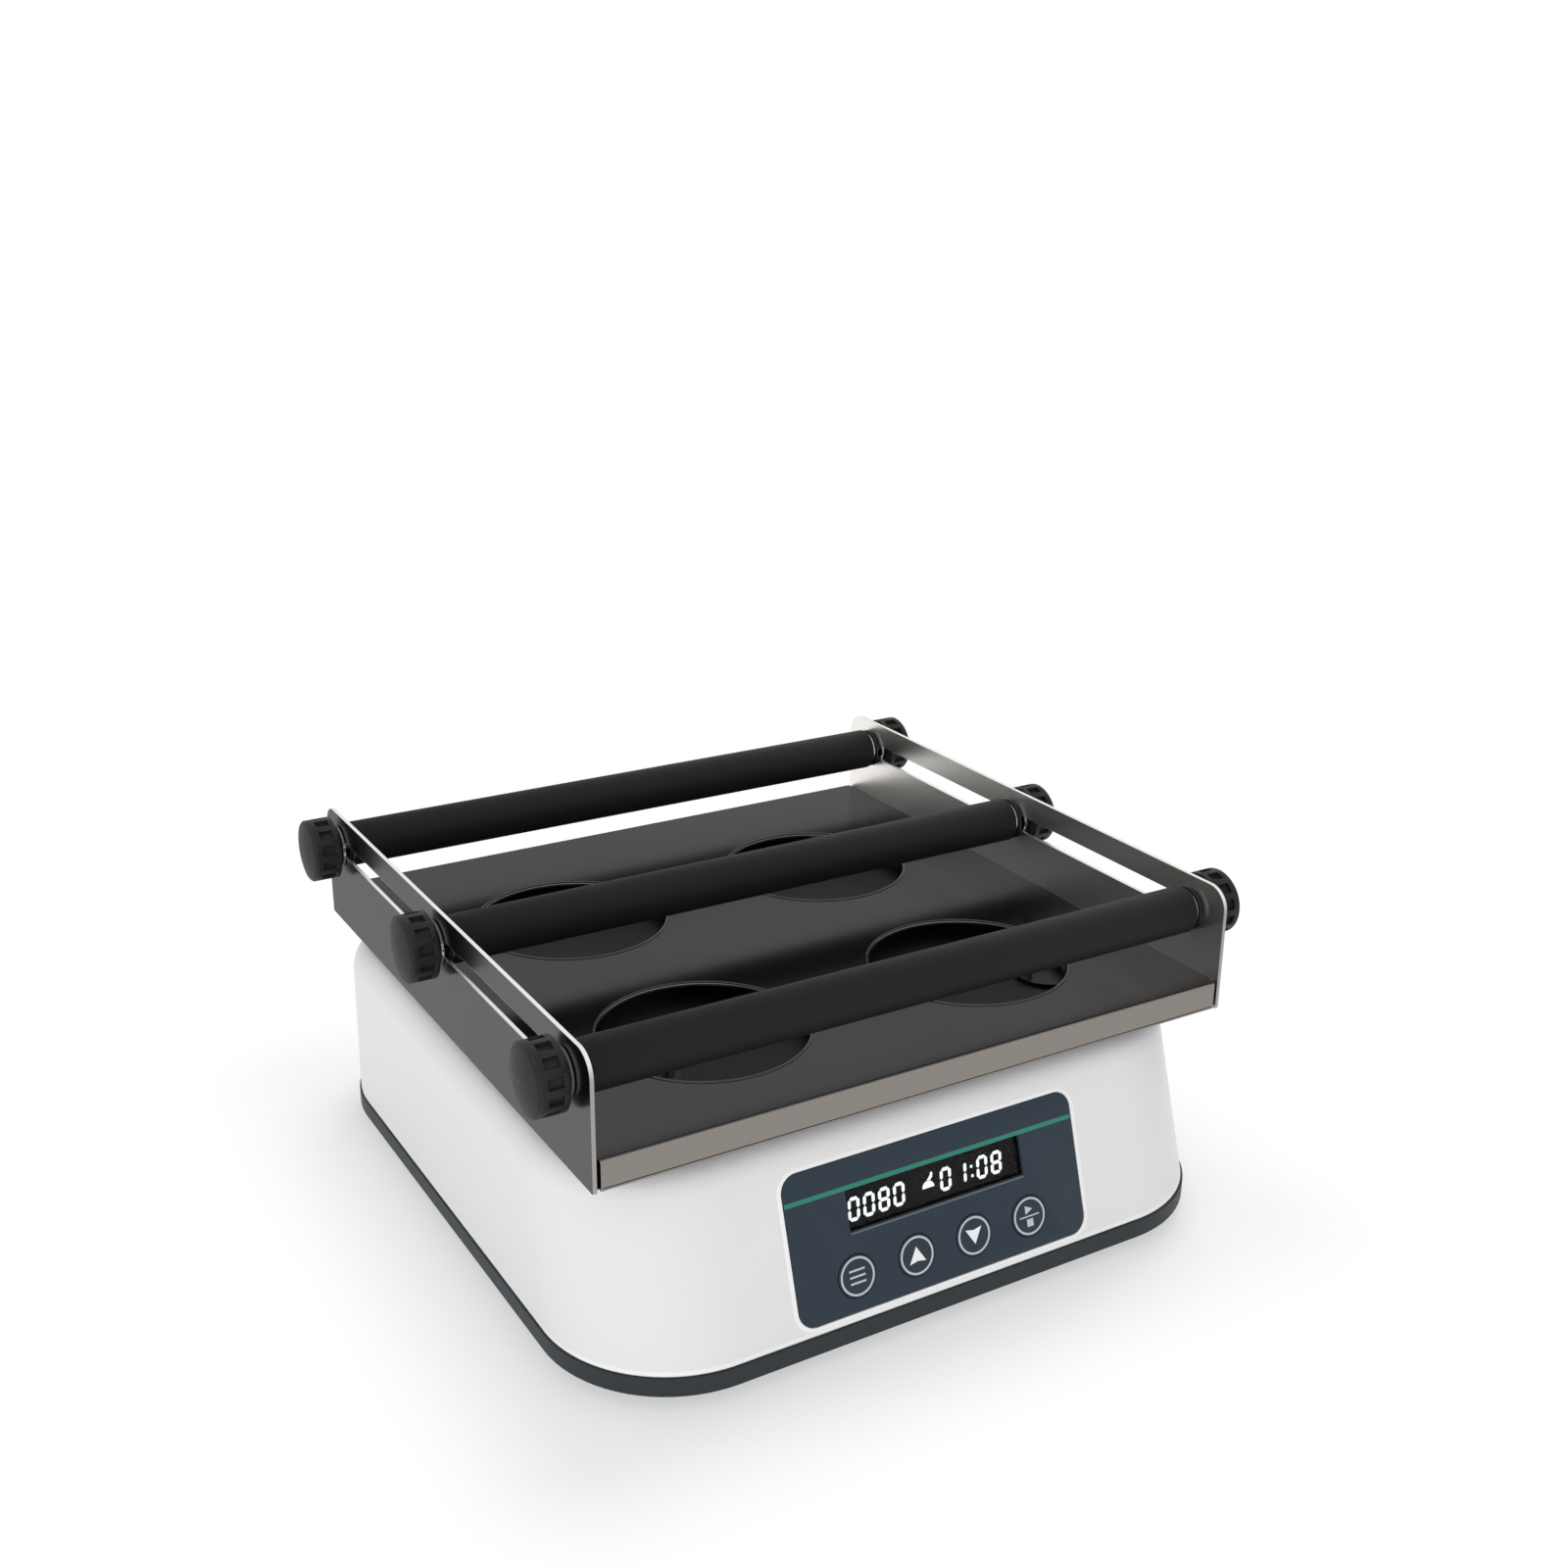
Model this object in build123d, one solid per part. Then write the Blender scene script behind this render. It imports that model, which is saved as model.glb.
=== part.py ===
from build123d import *
import os
from math import asin, cos, radians, sin, tan

# Laboratory orbital shaker with a clamping-bar tray.
# Frame: origin on the bench, under the middle of the housing's outline.
# +X is the operator's right, +Y is the back, +Z is up. Lengths are millimetres.

# Housing
BASE_WIDTH = 275.0
BASE_DEPTH = 284.8
BASE_CORNER = 50.0
PAN_HEIGHT = 7.4
PAN_FLOOR = 2.0
PAN_WALL = 4.0
PAN_EDGE = 1.2
LIP_HEIGHT = 2.0
LIP_WALL = 1.6
LIP_GAP = 1.3
COVER_STEP = 0.7
COVER_HEIGHT = 67.6
COVER_WALL = 3.0
COVER_TOP_RADIUS = 12.0
COVER_RIM_RADIUS = 0.8
FRONT_LEAN = 17.3
SIDE_DRAFT = 0.5
FOOT_HEIGHT = 5.0
FOOT_RADIUS = 10.0
FOOT_EDGE = 1.0
FOOT_INSET = 42.0

# Running and standing clearances
RUN_FIT = 0.05
SEAT_FIT = 0.03
OPEN_PIN_FIT = 0.3
SLIDE_GAP = 0.25
HOLE_GAP = 0.15
SHAFT_HOLE_GAP = 6.0

# Screws
SCREW_RADIUS = 2.0
SCREW_HEAD_RADIUS = 3.6
SCREW_HEAD_HEIGHT = 2.4
SMALL_SCREW_RADIUS = 1.25
SMALL_HEAD_RADIUS = 2.7
SMALL_HEAD_HEIGHT = 1.8
BOSS_RADIUS = 5.0
BOSS_BACK_SIDE_INSET = 21.5
BOSS_BACK_INSET = 26.4
BOSS_FRONT_SIDE_INSET = 60.5
BOSS_FRONT_INSET = 13.0
BOSS_SCREW_LENGTH = 14.0
SCREW_TIP_GAP = 1.0

# Crank drive: the platform circles at this radius
ECCENTRICITY = 5.0
DRIVE_Y = -2.5
WEB_GAP = 2.0
WEB_THICKNESS = 5.0
WEB_RADIUS = 17.0
DRIVE_SHAFT_RADIUS = 6.0
DRIVE_PIN_RADIUS = 5.0
WEIGHT_THICKNESS = 5.5
WEIGHT_RADIUS = 44.0
WEIGHT_HUB_RADIUS = 12.0
PULLEY_WIDTH = 10.0
PULLEY_FLANGE = 1.2
PULLEY_FLANGE_RISE = 2.5
PULLEY_HUB_GAP = 0.5
DRIVE_PULLEY_RADIUS = 42.0
MOTOR_PULLEY_RADIUS = 14.0
BELT_THICKNESS = 1.8
BELT_GAP = 0.3
HEAD_GAP = 0.8
BORE_RELIEF = 2.0
FLANGE_THICKNESS = 4.0
FLANGE_RADIUS = 28.0
FLANGE_SCREW_CIRCLE = 22.5
DRIVE_HOUSING_RADIUS = 18.0
DRIVE_HOUSING_DROP = 24.0
DRIVE_BEARING_RADIUS = 14.0
DRIVE_BEARING_WIDTH = 8.0
SHAFT_TAIL = 2.0

# Idler cranks at the four corners of the drive
IDLER_X = 90.0
IDLER_Y = 78.5
IDLER_SHAFT_RADIUS = 4.0
IDLER_WEB_RADIUS = 12.0
IDLER_HOUSING_RADIUS = 14.0
IDLER_FLANGE_RADIUS = 20.0
IDLER_SCREW_CIRCLE = 17.0
IDLER_BEARING_RADIUS = 11.0
IDLER_BEARING_WIDTH = 7.0
IDLER_TOP_GAP = 1.0
COVER_HOLE_GAP = 3.0

# Chassis plate and its pillars
CHASSIS_WIDTH = 222.0
CHASSIS_FRONT_INSET = 42.4
CHASSIS_REAR_GAP = 0.7
CHASSIS_THICKNESS = 4.0
CHASSIS_CORNER = 20.0
PILLAR_RADIUS = 6.0
PILLAR_X = 60.0
PILLAR_INSET = 12.0

# Motor
MOTOR_INSET = 2.0
MOTOR_SIDE = 56.0
MOTOR_HEIGHT = 28.0
MOTOR_CORNER = 6.0
MOTOR_SCREW_PITCH = 47.0
MOTOR_SHAFT_RADIUS = 4.0
MOTOR_SHAFT_DEPTH = 18.0

# Carrier under the tray
CARRIER_WIDTH = 232.0
CARRIER_DEPTH = 214.0
CARRIER_CORNER = 12.0
CARRIER_THICKNESS = 3.0
CARRIER_BOSS_DROP = 4.0
CARRIER_BOSS_WALL = 3.5
IDLER_PIN_BEARING_RADIUS = 8.0
DRIVE_PIN_BEARING_RADIUS = 9.5
PIN_BEARING_WIDTH = 5.0
CAP_THICKNESS = 1.5
CAP_MARGIN = 6.0
CAP_SCREW_OFFSET = 2.6
SPACER_HEIGHT = 6.3
SPACER_RADIUS = 7.0
SPACER_X = 107.0
SPACER_Y = 45.0
STUD_RADIUS = 2.5
STUD_TAIL = 5.0
NUT_HEIGHT = 4.0
NUT_RADIUS = 4.6

# Tray
TRAY_WIDTH = 266.0
TRAY_DEPTH = 260.8
SHEET = 1.5
PLATE_HEIGHT = 49.4
PLATE_TOP_RADIUS = 9.0
PLATE_FOOT_RADIUS = 1.5
COVER_TO_PLATE = 5.0
FLOOR_RISE = 11.8
FLANGE_LIFT = 0.76
FLANGE_END_GAP = 1.3
SIDE_FLANGE_DROP = 7.0
BEND_RADIUS = 1.4
TRAY_HOLE_RADIUS = 39.0
TRAY_HOLE_X = 59.0
TRAY_HOLE_FRONT_Y = -67.0
TRAY_HOLE_BACK_Y = 47.0
TRAY_HOLE_EDGE = 0.5
SLOT_RISE = 35.7
SLOT_WIDTH = 6.85
SLOT_HALF_LENGTH = 118.0

# Clamping bars and their knobs
ROD_RADIUS = 3.0
BAR_CORE_RADIUS = 6.0
SLEEVE_RADIUS = 9.2
SLEEVE_END_GAP = 3.0
END_FLANGE_RADIUS = 8.0
END_FLANGE_WIDTH = 1.5
END_COLLAR_RADIUS = 5.0
BAR_Y = {"front": -111.0, "middle": 2.0, "back": 114.0}
KNOB_RADIUS = 12.8
KNOB_LENGTH = 12.5
KNOB_STANDOFF = 3.3
KNOB_NECK_RADIUS = 5.0
KNOB_GRIPS = 12
KNOB_GRIP_DEPTH = 1.7
KNOB_GRIP_SHARE = 0.37
KNOB_RING_WIDTH = 2.0
KNOB_RIM_WIDTH = 3.1
KNOB_FACE_CHAMFER = 0.7
KNOB_DOME_RISE = 1.8
KNOB_CAP_DEPTH = 3.6
KNOB_GRIP_ROOT = 1.0

# Control panel, measured in the leaning front face from the pan's rim
PANEL_WIDTH = 124.8
PANEL_HEIGHT = 54.3
PANEL_RISE = 3.7
PANEL_THICKNESS = 1.2
PANEL_CORNER = 6.5
PANEL_GAP = 0.2
PANEL_LIP = 0.9
WINDOW_WIDTH = 75.5
WINDOW_HEIGHT = 14.8
WINDOW_CENTRE_RISE = 39.4
GLASS_MARGIN = 1.75
GLASS_THICKNESS = 1.0
KEY_PITCH = 25.1
KEY_RISE = 16.2
KEY_RADIUS = 7.6
KEY_GAP = 0.25
KEY_CROWN = 0.35
KEY_EDGE = 0.28
KEY_CAP_DEPTH = 1.7
KEY_STEM_RADIUS = 2.4
KEY_TRAVEL = 0.5
SWITCH_HEIGHT = 2.0
SWITCH_SIDE = 6.0
CHIP_SIDE = 12.0
SWITCH_CLEARANCE = 0.2
BOARD_DEPTH = 9.0
BOARD_THICKNESS = 1.6
BOARD_WIDTH = 118.0
BOARD_HEIGHT = 46.0
BOARD_CORNER = 2.0
BOARD_POST_RADIUS = 2.8
BOARD_POST_INSET = 4.0

# Supply board on the pan
SUPPLY_INSET = 61.5
SUPPLY_Y = 14.0
SUPPLY_WIDTH = 56.0
SUPPLY_DEPTH = 92.0
SUPPLY_POST_HEIGHT = 5.0
SUPPLY_PART_HEIGHT = 14.0
TRANSFORMER_SIDE = 28.0
CAPACITOR_RADIUS = 7.0
CAPACITOR_SPREAD = 9.5
HEAT_SINK_DEPTH = 7.0
SUPPLY_PART_PITCH = 28.0

# Rear panel: mains inlet and rocker switch in a shallow recess of the back wall
REAR_RECESS = 3.0
REAR_RECESS_MARGIN = 3.0
REAR_RECESS_CORNER = 4.0
INLET_INSET = 63.5
FITTING_PITCH = 40.0
REAR_RISE = 22.0
INLET_WIDTH = 27.0
INLET_HEIGHT = 20.0
INLET_DEPTH = 22.0
INLET_FLANGE = 2.2
INLET_FLANGE_MARGIN = 2.4
INLET_WALL = 1.7
INLET_CAVITY = 16.0
INLET_CORNER = 3.5
BLADE_LENGTH = 11.0
BLADE_WIDTH = 4.0
BLADE_THICKNESS = 2.0
BLADE_PITCH = 7.0
BLADE_DROP = 2.0
BLADE_TAIL = 4.0
ROCKER_WIDTH = 10.4
ROCKER_RADIUS = 7.2
ROCKER_FACE = 4.5
ROCKER_ANGLE = 10.0
ROCKER_PIVOT_DEPTH = 2.6
ROCKER_PIN_RADIUS = 1.2
ROCKER_PIN_LENGTH = 1.0
SWITCH_WALL = 1.4
SWITCH_GAP = 0.5
SWITCH_DEPTH = 15.0
SWITCH_FLANGE = 2.0
SWITCH_FLANGE_MARGIN = 1.6

# Levels, from the bench up
Z_PAN = FOOT_HEIGHT
Z_FLOOR = Z_PAN + PAN_FLOOR
Z_RIM = Z_PAN + PAN_HEIGHT
Z_COVER = Z_RIM + COVER_HEIGHT
Z_PLATE = Z_COVER + COVER_TO_PLATE
Z_TRAY = Z_PLATE + FLOOR_RISE
Z_TRAY_UNDER = Z_TRAY - SHEET
Z_CARRIER_TOP = Z_TRAY_UNDER - SPACER_HEIGHT
Z_CARRIER = Z_CARRIER_TOP - CARRIER_THICKNESS
Z_ROD = Z_PLATE + SLOT_RISE

# Levels of the drive, from the cover's inside down
Z_WEB_TOP = Z_COVER - COVER_WALL - WEB_GAP
Z_WEB = Z_WEB_TOP - WEB_THICKNESS
Z_WEIGHT = Z_WEB - WEIGHT_THICKNESS
Z_PULLEY = Z_WEIGHT - PULLEY_HUB_GAP - PULLEY_WIDTH
Z_DECK = Z_PULLEY - SCREW_HEAD_HEIGHT - HEAD_GAP - FLANGE_THICKNESS
Z_CHASSIS = Z_DECK - CHASSIS_THICKNESS
Z_PIN_TOP = Z_CARRIER_TOP - PULLEY_HUB_GAP

# Plan positions
PLATFORM_Y = DRIVE_Y + ECCENTRICITY
IDLERS = {
    "front_left": (-IDLER_X, DRIVE_Y - IDLER_Y),
    "front_right": (IDLER_X, DRIVE_Y - IDLER_Y),
    "back_left": (-IDLER_X, DRIVE_Y + IDLER_Y),
    "back_right": (IDLER_X, DRIVE_Y + IDLER_Y),
}
COVER_FRONT_Y = -BASE_DEPTH / 2 + COVER_STEP
COVER_BACK_Y = BASE_DEPTH / 2 - COVER_STEP
REAR_FACE_Y = COVER_BACK_Y - REAR_RECESS
INLET_X = INLET_INSET - BASE_WIDTH / 2
SWITCH_X = INLET_X + FITTING_PITCH
SUPPLY_X = SUPPLY_INSET - BASE_WIDTH / 2
CHASSIS_FRONT = BASE_DEPTH / 2 - CHASSIS_FRONT_INSET
CHASSIS_BACK = REAR_FACE_Y - INLET_DEPTH - BLADE_TAIL - CHASSIS_REAR_GAP
MOTOR_Y = CHASSIS_BACK - MOTOR_INSET - MOTOR_SIDE / 2
BELT_CENTRES = MOTOR_Y - DRIVE_Y
REAR_Z = Z_RIM + REAR_RISE
SWITCH_BODY_WIDTH = ROCKER_WIDTH + 2 * (SWITCH_GAP + SWITCH_WALL)
SWITCH_BODY_HEIGHT = 2 * (ROCKER_RADIUS + SWITCH_GAP + SWITCH_WALL)
COVER_TOP_FRONT_Y = COVER_FRONT_Y + tan(radians(FRONT_LEAN)) * COVER_HEIGHT
BOSS_PAIRS = [
    (BASE_WIDTH / 2 - BOSS_FRONT_SIDE_INSET, COVER_TOP_FRONT_Y + BOSS_FRONT_INSET),
    (BASE_WIDTH / 2 - BOSS_BACK_SIDE_INSET, BASE_DEPTH / 2 - BOSS_BACK_INSET),
]
BOSSES = [(sx * x, y) for x, y in BOSS_PAIRS for sx in (-1, 1)]
PILLARS = [
    (sx * PILLAR_X, y) for sx in (-1, 1) for y in (PILLAR_INSET - CHASSIS_FRONT, CHASSIS_BACK - PILLAR_INSET)
]
FOOT_X = BASE_WIDTH / 2 - FOOT_INSET
FOOT_Y = BASE_DEPTH / 2 - FOOT_INSET
FEET = [(sx * FOOT_X, sy * FOOT_Y) for sx in (-1, 1) for sy in (-1, 1)]
SPACERS = [(sx * SPACER_X, PLATFORM_Y + sy * SPACER_Y) for sx in (-1, 1) for sy in (-1, 1)]
TRAY_HOLES = [
    (sx * TRAY_HOLE_X, PLATFORM_Y + y) for sx in (-1, 1) for y in (TRAY_HOLE_FRONT_Y, TRAY_HOLE_BACK_Y)
]
KEYS = {"menu": -1.5, "up": -0.5, "down": 0.5, "start": 1.5}

# The leaning front face: x to the right, y up the slope, z out of the face
FACE = Plane(
    origin=(0, COVER_FRONT_Y, Z_RIM),
    x_dir=(1, 0, 0),
    z_dir=(0, -cos(radians(FRONT_LEAN)), sin(radians(FRONT_LEAN))),
)
FACE_AXIS = Axis(origin=FACE.origin, direction=FACE.z_dir)
PANEL_CENTRE = PANEL_RISE + PANEL_HEIGHT / 2
BOARD_BACK = BOARD_DEPTH + BOARD_THICKNESS
BOARD_POSTS = [
    (sx * (BOARD_WIDTH / 2 - BOARD_POST_INSET), PANEL_CENTRE + sy * (BOARD_HEIGHT / 2 - BOARD_POST_INSET))
    for sx in (-1, 1)
    for sy in (-1, 1)
]


def save(name, shape):
    """Write one node's solids to its STEP file."""
    export_step(shape, os.path.join("parts", name + ".step"))


def group(solids):
    """Keep identical pieces as separate solids of one node."""
    return Compound(children=list(solids))


def cylinder(x, y, z_low, z_high, radius):
    """An upright cylinder between two levels."""
    return Pos(x, y, z_low) * Cylinder(radius, z_high - z_low, align=(Align.CENTER, Align.CENTER, Align.MIN))


def ring(x, y, z_low, z_high, outer, inner):
    """An upright ring between two levels."""
    return cylinder(x, y, z_low, z_high, outer) - cylinder(x, y, z_low, z_high, inner)


def slab(x, y, z_low, z_high, width, depth, corner):
    """A flat block with rounded plan corners."""
    outline = Pos(x, y, z_low) * RectangleRounded(width, depth, corner)
    return extrude(outline, z_high - z_low)


def screw(x, y, z_seat, length, radius, head_radius, head_height):
    """A pan-head screw whose head sits on z_seat and whose shank points down, or up if length is negative."""
    way = 1 if length > 0 else -1
    head = sorted((z_seat, z_seat + way * head_height))
    shank = sorted((z_seat, z_seat - length))
    return cylinder(x, y, *head, head_radius) + cylinder(x, y, *shank, radius)


def on_face(x, rise, low, high, sketch):
    """A prism on the front face, from depth low to depth high, where 0 is the outer surface."""
    return extrude(FACE * Pos(x, rise, low) * sketch, high - low)


def cover_outline(z, inset):
    """The cover's plan outline at level z, inset into the wall. The front leans back, the sides lean in."""
    climb = z - Z_RIM
    half = BASE_WIDTH / 2 - COVER_STEP - tan(radians(SIDE_DRAFT)) * climb - inset
    front = COVER_FRONT_Y + tan(radians(FRONT_LEAN)) * climb + inset / cos(radians(FRONT_LEAN))
    back = COVER_BACK_Y - inset
    radius = BASE_CORNER - COVER_STEP - inset
    return Pos(0, (front + back) / 2, z) * RectangleRounded(2 * half, back - front, radius)


def panel_outline(extra):
    """The control panel's outline, this much larger all round."""
    return RectangleRounded(PANEL_WIDTH + 2 * extra, PANEL_HEIGHT + 2 * extra, PANEL_CORNER + extra)


def window_outline(extra):
    """The window opening's outline, this much larger all round."""
    return Rectangle(WINDOW_WIDTH + 2 * extra, WINDOW_HEIGHT + 2 * extra)


def cover_cutouts():
    """What the front and back walls are cut away for: panel, window, keys, inlet and switch."""
    pocket = panel_outline(PANEL_GAP)
    lip = panel_outline(PANEL_GAP + PANEL_LIP)
    cuts = [on_face(0, PANEL_CENTRE, -PANEL_THICKNESS, COVER_WALL, pocket)]
    centre = Pos(0, PANEL_CENTRE)
    cuts.append(loft([FACE * Pos(0, 0, -PANEL_LIP) * centre * pocket, FACE * centre * lip]))
    cuts.append(on_face(0, WINDOW_CENTRE_RISE, -2 * COVER_WALL, 0, window_outline(GLASS_MARGIN + PANEL_GAP)))
    for place in KEYS.values():
        cuts.append(on_face(place * KEY_PITCH, KEY_RISE, -2 * COVER_WALL, 0, Circle(KEY_RADIUS + KEY_GAP)))
    for x, width, height in (
        (INLET_X, INLET_WIDTH, INLET_HEIGHT),
        (SWITCH_X, SWITCH_BODY_WIDTH, SWITCH_BODY_HEIGHT),
    ):
        hole = Box(width + 2 * PANEL_GAP, 4 * COVER_WALL, height + 2 * PANEL_GAP)
        cuts.append(Pos(x, REAR_FACE_Y, REAR_Z) * hole)
    return cuts


def rear_recess(extra, low, high):
    """A rounded block round both rear fittings, this much wider, from depth low to depth high."""
    margin = REAR_RECESS_MARGIN + extra
    x_low = INLET_X - INLET_WIDTH / 2 - INLET_FLANGE_MARGIN - margin
    x_high = SWITCH_X + SWITCH_BODY_WIDTH / 2 + SWITCH_FLANGE_MARGIN + margin
    height = INLET_HEIGHT + 2 * (INLET_FLANGE_MARGIN + margin)
    corner = REAR_RECESS_CORNER + extra
    return rear_block((x_low + x_high) / 2, REAR_Z, x_high - x_low, height, low, high, corner)


def base_cover():
    """One moulded shell with its screw bosses and board posts inside."""
    body = loft([cover_outline(Z_RIM, 0), cover_outline(Z_COVER, 0)], ruled=True)
    body = fillet(body.faces().sort_by(Axis.Z)[-1].edges(), COVER_TOP_RADIUS)
    body = fillet(body.faces().sort_by(Axis.Z)[0].edges(), COVER_RIM_RADIUS)
    outside = body
    ceiling = Z_COVER - COVER_WALL
    hollow = loft([cover_outline(Z_RIM, COVER_WALL), cover_outline(ceiling, COVER_WALL)], ruled=True)
    hollow = fillet(hollow.faces().sort_by(Axis.Z)[-1].edges(), COVER_TOP_RADIUS - COVER_WALL)
    body -= hollow
    body += rear_recess(COVER_WALL, -COVER_WALL, REAR_RECESS / 2)
    body -= rear_recess(0, 0, 2 * REAR_RECESS)
    for x, y in BOSSES:
        body += cylinder(x, y, Z_FLOOR + SLIDE_GAP, ceiling, BOSS_RADIUS) & outside
    for x, rise in BOARD_POSTS:
        body += on_face(x, rise, -BOARD_DEPTH, -PANEL_THICKNESS - PANEL_LIP, Circle(BOARD_POST_RADIUS))
    for x, y in BOSSES:
        body -= cylinder(x, y, Z_FLOOR, Z_FLOOR + BOSS_SCREW_LENGTH, SCREW_RADIUS + SEAT_FIT)
    for x, rise in BOARD_POSTS:
        body -= on_face(x, rise, -BOARD_DEPTH, -COVER_WALL, Circle(SMALL_SCREW_RADIUS + SEAT_FIT))
    for cut in cover_cutouts():
        body -= cut
    body -= cylinder(0, DRIVE_Y, Z_WEB_TOP, Z_COVER, DRIVE_PIN_RADIUS + ECCENTRICITY + COVER_HOLE_GAP)
    for x, y in IDLERS.values():
        body -= cylinder(x, y, Z_WEB_TOP, Z_COVER, IDLER_SHAFT_RADIUS + ECCENTRICITY + COVER_HOLE_GAP)
    return body


def base_pan():
    """The dark lower pan: a floor, a rim that the cover stands on, and a lip inside the cover."""
    body = slab(0, 0, Z_PAN, Z_RIM, BASE_WIDTH, BASE_DEPTH, BASE_CORNER)
    body = fillet(body.faces().sort_by(Axis.Z)[0].edges(), PAN_EDGE)
    inset = 2 * PAN_WALL
    body -= slab(0, 0, Z_FLOOR, Z_RIM, BASE_WIDTH - inset, BASE_DEPTH - inset, BASE_CORNER - PAN_WALL)
    outer = COVER_STEP + COVER_WALL + LIP_GAP
    inner = outer + LIP_WALL
    lip = slab(
        0, 0, Z_FLOOR, Z_RIM + LIP_HEIGHT, BASE_WIDTH - 2 * outer, BASE_DEPTH - 2 * outer, BASE_CORNER - outer
    )
    lip -= slab(
        0, 0, Z_FLOOR, Z_RIM + LIP_HEIGHT, BASE_WIDTH - 2 * inner, BASE_DEPTH - 2 * inner, BASE_CORNER - inner
    )
    body += lip
    for x, y in supply_posts():
        body += cylinder(x, y, Z_FLOOR, Z_FLOOR + SUPPLY_POST_HEIGHT, BOARD_POST_RADIUS)
        body -= cylinder(x, y, Z_FLOOR, Z_FLOOR + SUPPLY_POST_HEIGHT, SMALL_SCREW_RADIUS + SEAT_FIT)
    for x, y in BOSSES + PILLARS:
        body -= cylinder(x, y, Z_PAN, Z_FLOOR, SCREW_RADIUS + HOLE_GAP)
    return body


def rubber_feet():
    """Four feet glued under the pan, with a soft lower edge."""
    feet = []
    for x, y in FEET:
        foot = cylinder(x, y, 0, Z_PAN, FOOT_RADIUS)
        feet.append(fillet(foot.edges().sort_by(Axis.Z)[0], FOOT_EDGE))
    return group(feet)


def cover_screws():
    """Screws up through the pan into the cover's bosses."""
    reach = BOSS_SCREW_LENGTH - SCREW_TIP_GAP
    return group(
        screw(x, y, Z_PAN, -reach, SCREW_RADIUS, SCREW_HEAD_RADIUS, SCREW_HEAD_HEIGHT) for x, y in BOSSES
    )


def flange_screw_places():
    """The screws that hold the drive housing, the idler housings and the motor to the chassis plate."""
    diagonal = FLANGE_SCREW_CIRCLE / 2**0.5
    drive = [(sx * diagonal, DRIVE_Y + sy * diagonal) for sx in (-1, 1) for sy in (-1, 1)]
    idlers = [(x + s * IDLER_SCREW_CIRCLE, y) for x, y in IDLERS.values() for s in (-1, 1)]
    half = MOTOR_SCREW_PITCH / 2
    motor = [(sx * half, MOTOR_Y + sy * half) for sx in (-1, 1) for sy in (-1, 1)]
    return drive, idlers, motor


def chassis_plate():
    """The steel plate that carries the motor, the drive and the idlers."""
    depth = CHASSIS_FRONT + CHASSIS_BACK
    middle = (CHASSIS_BACK - CHASSIS_FRONT) / 2
    body = slab(0, middle, Z_CHASSIS, Z_DECK, CHASSIS_WIDTH, depth, CHASSIS_CORNER)
    body -= cylinder(0, DRIVE_Y, Z_CHASSIS, Z_DECK, DRIVE_HOUSING_RADIUS + HOLE_GAP)
    body -= cylinder(0, MOTOR_Y, Z_CHASSIS, Z_DECK, MOTOR_SHAFT_RADIUS + SHAFT_HOLE_GAP)
    drive, idlers, motor = flange_screw_places()
    for x, y in PILLARS + drive + idlers + motor:
        body -= cylinder(x, y, Z_CHASSIS, Z_DECK, SCREW_RADIUS + HOLE_GAP)
    return body


def chassis_pillars():
    """Four turned pillars between the pan and the chassis plate, tapped at both ends."""
    pillars = []
    for x, y in PILLARS:
        pillar = ring(x, y, Z_FLOOR, Z_CHASSIS, PILLAR_RADIUS, SCREW_RADIUS + SEAT_FIT)
        pillars.append(pillar)
    return group(pillars)


def chassis_screws():
    """Screws of the pillars, the drive flange, the idler flanges and the motor."""
    size = (SCREW_RADIUS, SCREW_HEAD_RADIUS, SCREW_HEAD_HEIGHT)
    drive, idlers, motor = flange_screw_places()
    reach = CHASSIS_THICKNESS + FLANGE_THICKNESS
    places = [screw(x, y, Z_DECK, reach, *size) for x, y in PILLARS]
    places += [screw(x, y, Z_PAN, -reach, *size) for x, y in PILLARS]
    places += [screw(x, y, Z_DECK + FLANGE_THICKNESS, reach, *size) for x, y in drive + idlers]
    places += [screw(x, y, Z_DECK, reach, *size) for x, y in motor]
    return group(places)


def drive_housing():
    """A flanged housing through the chassis plate, with a bearing seat at each end."""
    low = Z_CHASSIS - DRIVE_HOUSING_DROP
    top = Z_DECK + FLANGE_THICKNESS
    body = cylinder(0, DRIVE_Y, low, top, DRIVE_HOUSING_RADIUS)
    body += cylinder(0, DRIVE_Y, Z_DECK, top, FLANGE_RADIUS)
    body -= cylinder(0, DRIVE_Y, low, top, DRIVE_SHAFT_RADIUS + BORE_RELIEF)
    seat = DRIVE_BEARING_RADIUS + SEAT_FIT
    body -= cylinder(0, DRIVE_Y, low, low + DRIVE_BEARING_WIDTH, seat)
    body -= cylinder(0, DRIVE_Y, top - DRIVE_BEARING_WIDTH, top, seat)
    for x, y in flange_screw_places()[0]:
        body -= cylinder(x, y, Z_DECK, top, SCREW_RADIUS + HOLE_GAP)
    return body


def drive_bearings():
    """Two ball bearings, each drawn as one ring, in the drive housing."""
    low = Z_CHASSIS - DRIVE_HOUSING_DROP
    top = Z_DECK + FLANGE_THICKNESS
    bore = DRIVE_SHAFT_RADIUS + RUN_FIT
    return group(
        [
            ring(0, DRIVE_Y, low, low + DRIVE_BEARING_WIDTH, DRIVE_BEARING_RADIUS, bore),
            ring(0, DRIVE_Y, top - DRIVE_BEARING_WIDTH, top, DRIVE_BEARING_RADIUS, bore),
        ]
    )


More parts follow.
